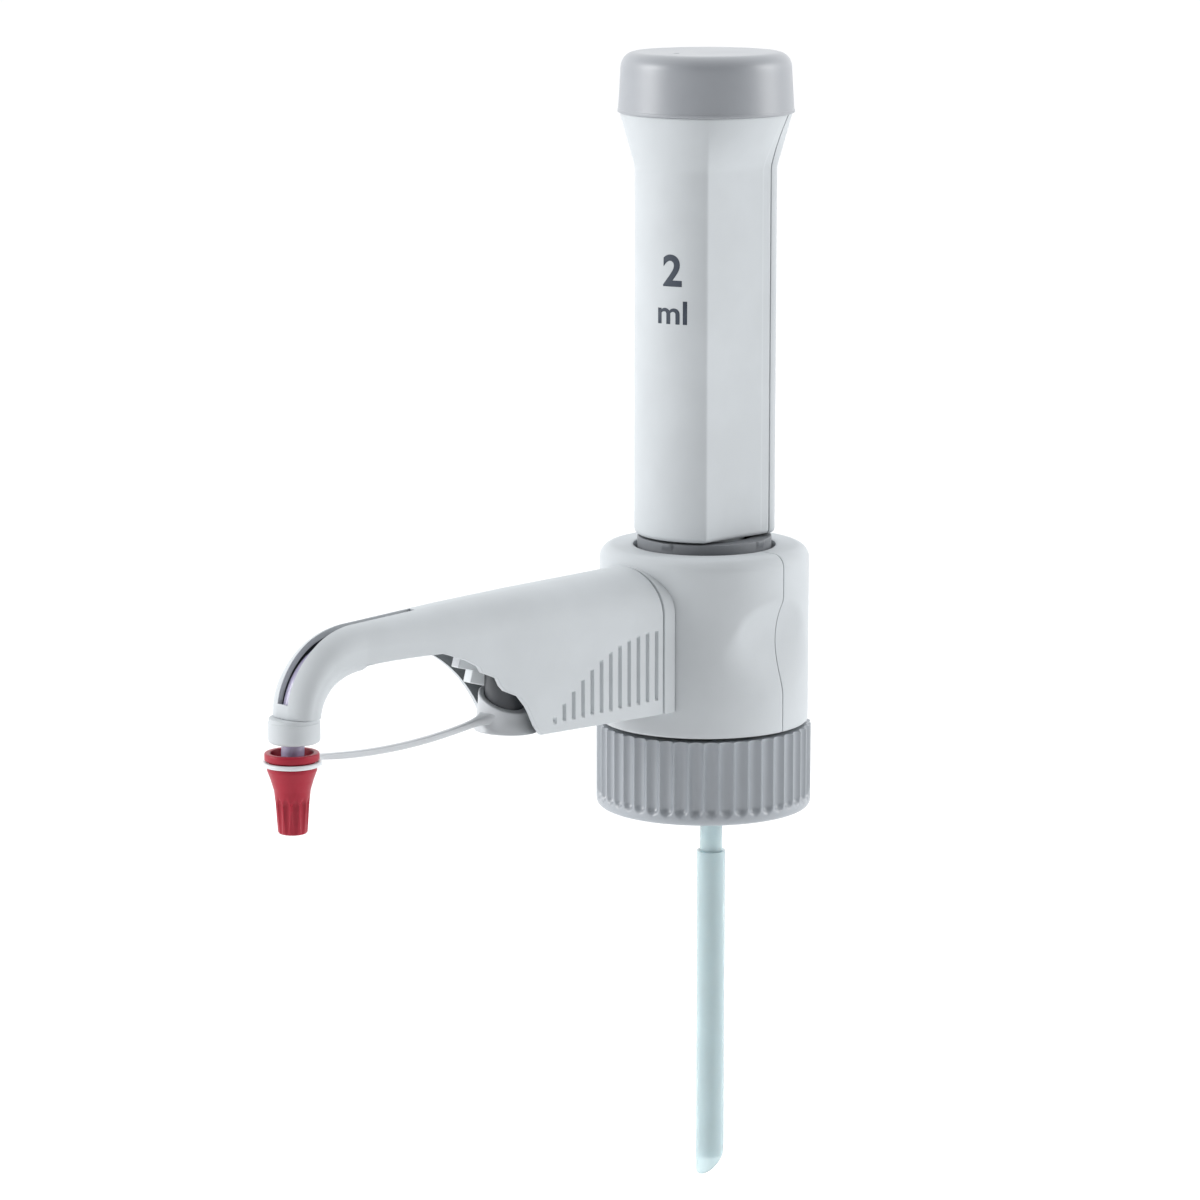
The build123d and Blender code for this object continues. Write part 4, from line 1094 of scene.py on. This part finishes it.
def grip_shape(radius, height, angle):
    """Hollows of the grip: the radius is at most that of circles standing round it."""
    room = hollow_radius * step_up(grip_top - height, 0, 3.0)
    grip = soft_min(radius, hollow_wall(angle, cap_hollows, hollow_centre, room), 0.1)
    return np.where((height < 8.4) & (radius > 3.1), grip, radius), height


nozzle_cap_outline = rounded(
    [
        (0, -2.2), (3.6, -2.2), (4.15, 5.6), (4.5, 8.6), (5.3, 11.3), (6.15, 13.6), (6.15, 14.5),
        (5.75, 14.6), (5.75, 16.1), (6.75, 16.1), (6.75, 18.0), (5.3, 18.0), (4.8, 14.4),
        (3.05, 14.1), (3.0, 3.7), (0, 3.7),
    ],
    [0, 0.6, 3.0, 3.0, 3.0, 0.5, 0.3, 0.1, 0.1, 0.35, 0.45, 0.35, 0.6, 0.3, 0.2, 0],
    closed=False,
)
make_piece(
    "red_nozzle_cap",
    *turned(nozzle_cap_outline, 0.45, 240, (0, -nozzle_reach), grip_shape, closed=False),
    "tip_cap", red_finish, "red_cap", ["nozzle_cap"],
)

# %% [markdown]
# ## Filling tube
# Two lengths of clear, faintly blue tube hang into the bottle. The wider one slides on the upper
# one to suit the bottle's depth, and its end is cut at a slant, so that it never sucks itself
# onto the bottle's floor.

# %% Filling tube
tube_offset = 3.0
upper_outline = ring_profile(3.0, 2.3, -114.6, -4.6, [0.2] * 4)
make_piece(
    "upper_filling_tube", *turned(upper_outline, 3.0, 72, (0, tube_offset)),
    "head", blue_finish, "blue_tube", ["filling_tube"],
)
slant_low, slant_top, lower_radius = -119.2, -30.2, 3.78


def slanted(radius, height, angle):
    """The foot rises with y at 45 degrees, and the rest of the wall is shortened evenly."""
    foot = slant_low + radius * np.sin(angle) + lower_radius
    share = (height - slant_low) / (slant_top - slant_low)
    return radius, foot + share * (slant_top - foot)


lower_outline = ring_profile(lower_radius, 3.08, slant_low, slant_top, [0.12] * 4)
make_piece(
    "lower_filling_tube", *turned(lower_outline, 3.0, 72, (0, tube_offset), slanted),
    "suction_tube", blue_finish, "blue_tube", ["lower_tube"],
)

# %% [markdown]
# ## Lettering
# The handle carries its capacity, a 2 and the unit ml, as a flat print. Blender's text object
# gives the outlines. It is made a mesh first, cut into narrow strips so that it can bend, and
# then laid round the handle: the angle is the way along the line divided by the radius.

# %% Capacity mark
import bmesh


def lettering(name, word, degrees, heights, weight):
    """A word fitted between two angles and two heights on the handle's round front."""
    text = bpy.data.curves.new(name, "FONT")
    text.body = word
    text.size = 10.0
    text.offset = weight
    text.resolution_u = 8
    holder = add_object(name + "_outline", text)
    bpy.context.view_layer.update()
    flat = bpy.data.meshes.new_from_object(
        holder.evaluated_get(bpy.context.evaluated_depsgraph_get())
    )
    bpy.data.objects.remove(holder)
    strips = bmesh.new()
    strips.from_mesh(flat)
    bmesh.ops.remove_doubles(strips, verts=strips.verts, dist=1e-4)
    low = min(v.co.x for v in strips.verts)
    high = max(v.co.x for v in strips.verts)
    for x in np.linspace(low, high, 26)[1:-1]:
        everything = strips.verts[:] + strips.edges[:] + strips.faces[:]
        bmesh.ops.bisect_plane(strips, geom=everything, plane_co=(x, 0, 0), plane_no=(1, 0, 0))
    strips.to_mesh(flat)
    strips.free()
    place = np.zeros(len(flat.vertices) * 3)
    flat.vertices.foreach_get("co", place)
    place = place.reshape(-1, 3)
    share = (place - place.min(0)) / np.maximum(place.max(0) - place.min(0), 1e-9)
    turn = np.radians(degrees[0] + share[:, 0] * (degrees[1] - degrees[0]))
    z = heights[0] + share[:, 1] * (heights[1] - heights[0])
    angle = turn - np.pi / 2
    radius = handle_section(angle, z, 0.0) + 0.03
    round_place = np.stack([radius * np.cos(angle), radius * np.sin(angle), z], -1)
    flat.vertices.foreach_set("co", (round_place * MM).ravel())
    flat.update()
    flat.materials.clear()
    flat.materials.append(ink_finish)
    word_piece = add_object(name, flat)
    film = word_piece.modifiers.new("film", "SOLIDIFY")
    film.thickness = 0.05 * MM
    film.offset = -1.0
    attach(word_piece, "plunger")
    print(f"{name}: {len(flat.polygons)} faces")


lettering("capacity_number", "2", (9.5, 26.5), (122.5, 130.75), 0.25)
lettering("capacity_unit", "ml", (4.5, 31.0), (112.8, 118.8), 0.17)

# %% [markdown]
# ## Inner pieces
# The valves, the cylinder and the piston are nodes of the solid model. Their shapes are right, so
# they keep their meshes and only get finishes: clear borosilicate glass, waxy fluoropolymer,
# turned steel and white ceramic.


# %% Finishes of the inner pieces
def turned_steel(name, colour, roughness):
    """Lathe-turned metal: fine rings across the axis, a noise squeezed in x and y, in the bump."""
    finish, tree, shader = new_finish(name)
    new, link = tree.nodes.new, tree.links.new
    set_inputs(shader, Base_Color=(*colour, 1), Metallic=1.0, Roughness=roughness)
    place = new("ShaderNodeTexCoord")
    squeeze = set_inputs(new("ShaderNodeMapping"), Scale=(40, 40, 3000))
    rings = set_inputs(new("ShaderNodeTexNoise"), Scale=1.0)
    bump = set_inputs(new("ShaderNodeBump"), Distance=0.004 * MM)
    link(place.outputs["Object"], squeeze.inputs["Vector"])
    link(squeeze.outputs["Vector"], rings.inputs["Vector"])
    link(rings.outputs["Fac"], bump.inputs["Height"])
    link(bump.outputs["Normal"], shader.inputs["Normal"])
    return finish


waxy_finish = moulded("waxy_fluoropolymer", (0.72, 0.73, 0.72), 0.5, 0.5, 0.01, wax=0.3)
rubber_finish = moulded("dark_washer_rubber", (0.03, 0.032, 0.034), 0.7, 0.25, 0.02)
sleeve_finish = moulded("smooth_sleeve_plastic", (0.6, 0.64, 0.67), 0.25, 0.8, 0.004)
ceramic_finish = moulded("white_ceramic", (0.85, 0.83, 0.78), 0.12, 0.3, 0.002)
steel_finish = turned_steel("turned_steel", (0.62, 0.62, 0.61), 0.28)
glass_finish = moulded(
    "borosilicate_glass", (0.95, 0.98, 0.98), 0.05, 2.0, 0.001, drift=0.01, clear=0.95
)
set_inputs(glass_finish.node_tree.nodes["Principled BSDF"], IOR=1.47)
inner_finishes = (
    (waxy_finish, "valve_block cylinder_seal filling_seal piston"),
    (insert_finish, "filling_valve filling_cage discharge_valve"),
    (steel_finish, "discharge_spring piston_rod calibration_nut"),
    (ceramic_finish, "filling_ball discharge_ball"), (dark_finish, "guide_bush rod_carrier"),
    (rubber_finish, "rim_washer"), (glass_finish, "glass_cylinder"),
    (sleeve_finish, "guide_sleeve"),
)
for finish, nodes in inner_finishes:
    for node in nodes.split():
        mesh = frame["nodes"][node].data
        mesh.materials.clear()
        mesh.materials.append(finish)
    print(nodes.replace(" ", ", "), "in", finish.name)

# %% [markdown]
# ## Floor and light
# A pale sweep and very soft light, as in a catalogue picture. The piece stands inside a white
# tent that is brightest behind it and darkest towards the viewer, and one large softbox on each
# side draws a bright edge along the round forms. The tent is the world's background: its strength
# follows the direction's share towards the viewer.

# %% Floor and light
floor_finish, _, floor_shader = new_finish("studio_floor")
set_inputs(floor_shader, Base_Color=(0.96, 0.96, 0.96, 1), Roughness=0.9)
floor_level = -0.2
floor_mesh = bpy.data.meshes.new("studio_floor")
floor_corners = [(x, y, floor_level) for x, y in ((-8, -8), (8, -8), (8, 8), (-8, 8))]
floor_mesh.from_pydata(floor_corners, [], [(0, 1, 2, 3)])
floor_mesh.materials.append(floor_finish)
floor = add_object("studio_floor", floor_mesh)

world = bpy.data.worlds.new("studio_world")
world.use_nodes = True
sky, sky_link = world.node_tree.nodes, world.node_tree.links.new
direction = sky.new("ShaderNodeTexCoord")
toward_viewer = sky.new("ShaderNodeVectorMath")
toward_viewer.operation = "DOT_PRODUCT"
toward_viewer.inputs[1].default_value = (0.68, -0.67, -0.3)
glow = set_inputs(sky.new("ShaderNodeMapRange"), From_Min=-0.8, From_Max=0.9)
set_inputs(glow, To_Min=1.55, To_Max=0.1)
glow.interpolation_type = "SMOOTHSTEP"
sky_link(direction.outputs["Generated"], toward_viewer.inputs[0])
sky_link(toward_viewer.outputs["Value"], glow.inputs["Value"])
sky_link(glow.outputs["Result"], sky["Background"].inputs["Strength"])
sky["Background"].inputs["Color"].default_value = (0.98, 0.99, 1.0, 1)
bpy.context.scene.world = world
bpy.context.scene.view_settings.view_transform = "Standard"


def softbox(name, place, target, size, power):
    """A square area light that faces a target, in metres and watts."""
    data = bpy.data.lights.new(name, "AREA")
    data.size = size
    data.energy = power
    box = add_object(name, data)
    box.location = place
    box.rotation_euler = (Vector(target) - Vector(place)).to_track_quat("-Z", "Y").to_euler()


softbox("left_softbox", (-1.0, -1.4, 0.6), (0, 0, 0.05), 0.9, 19)
softbox("right_softbox", (1.2, 1.25, 0.6), (0, 0, 0.05), 0.9, 14)
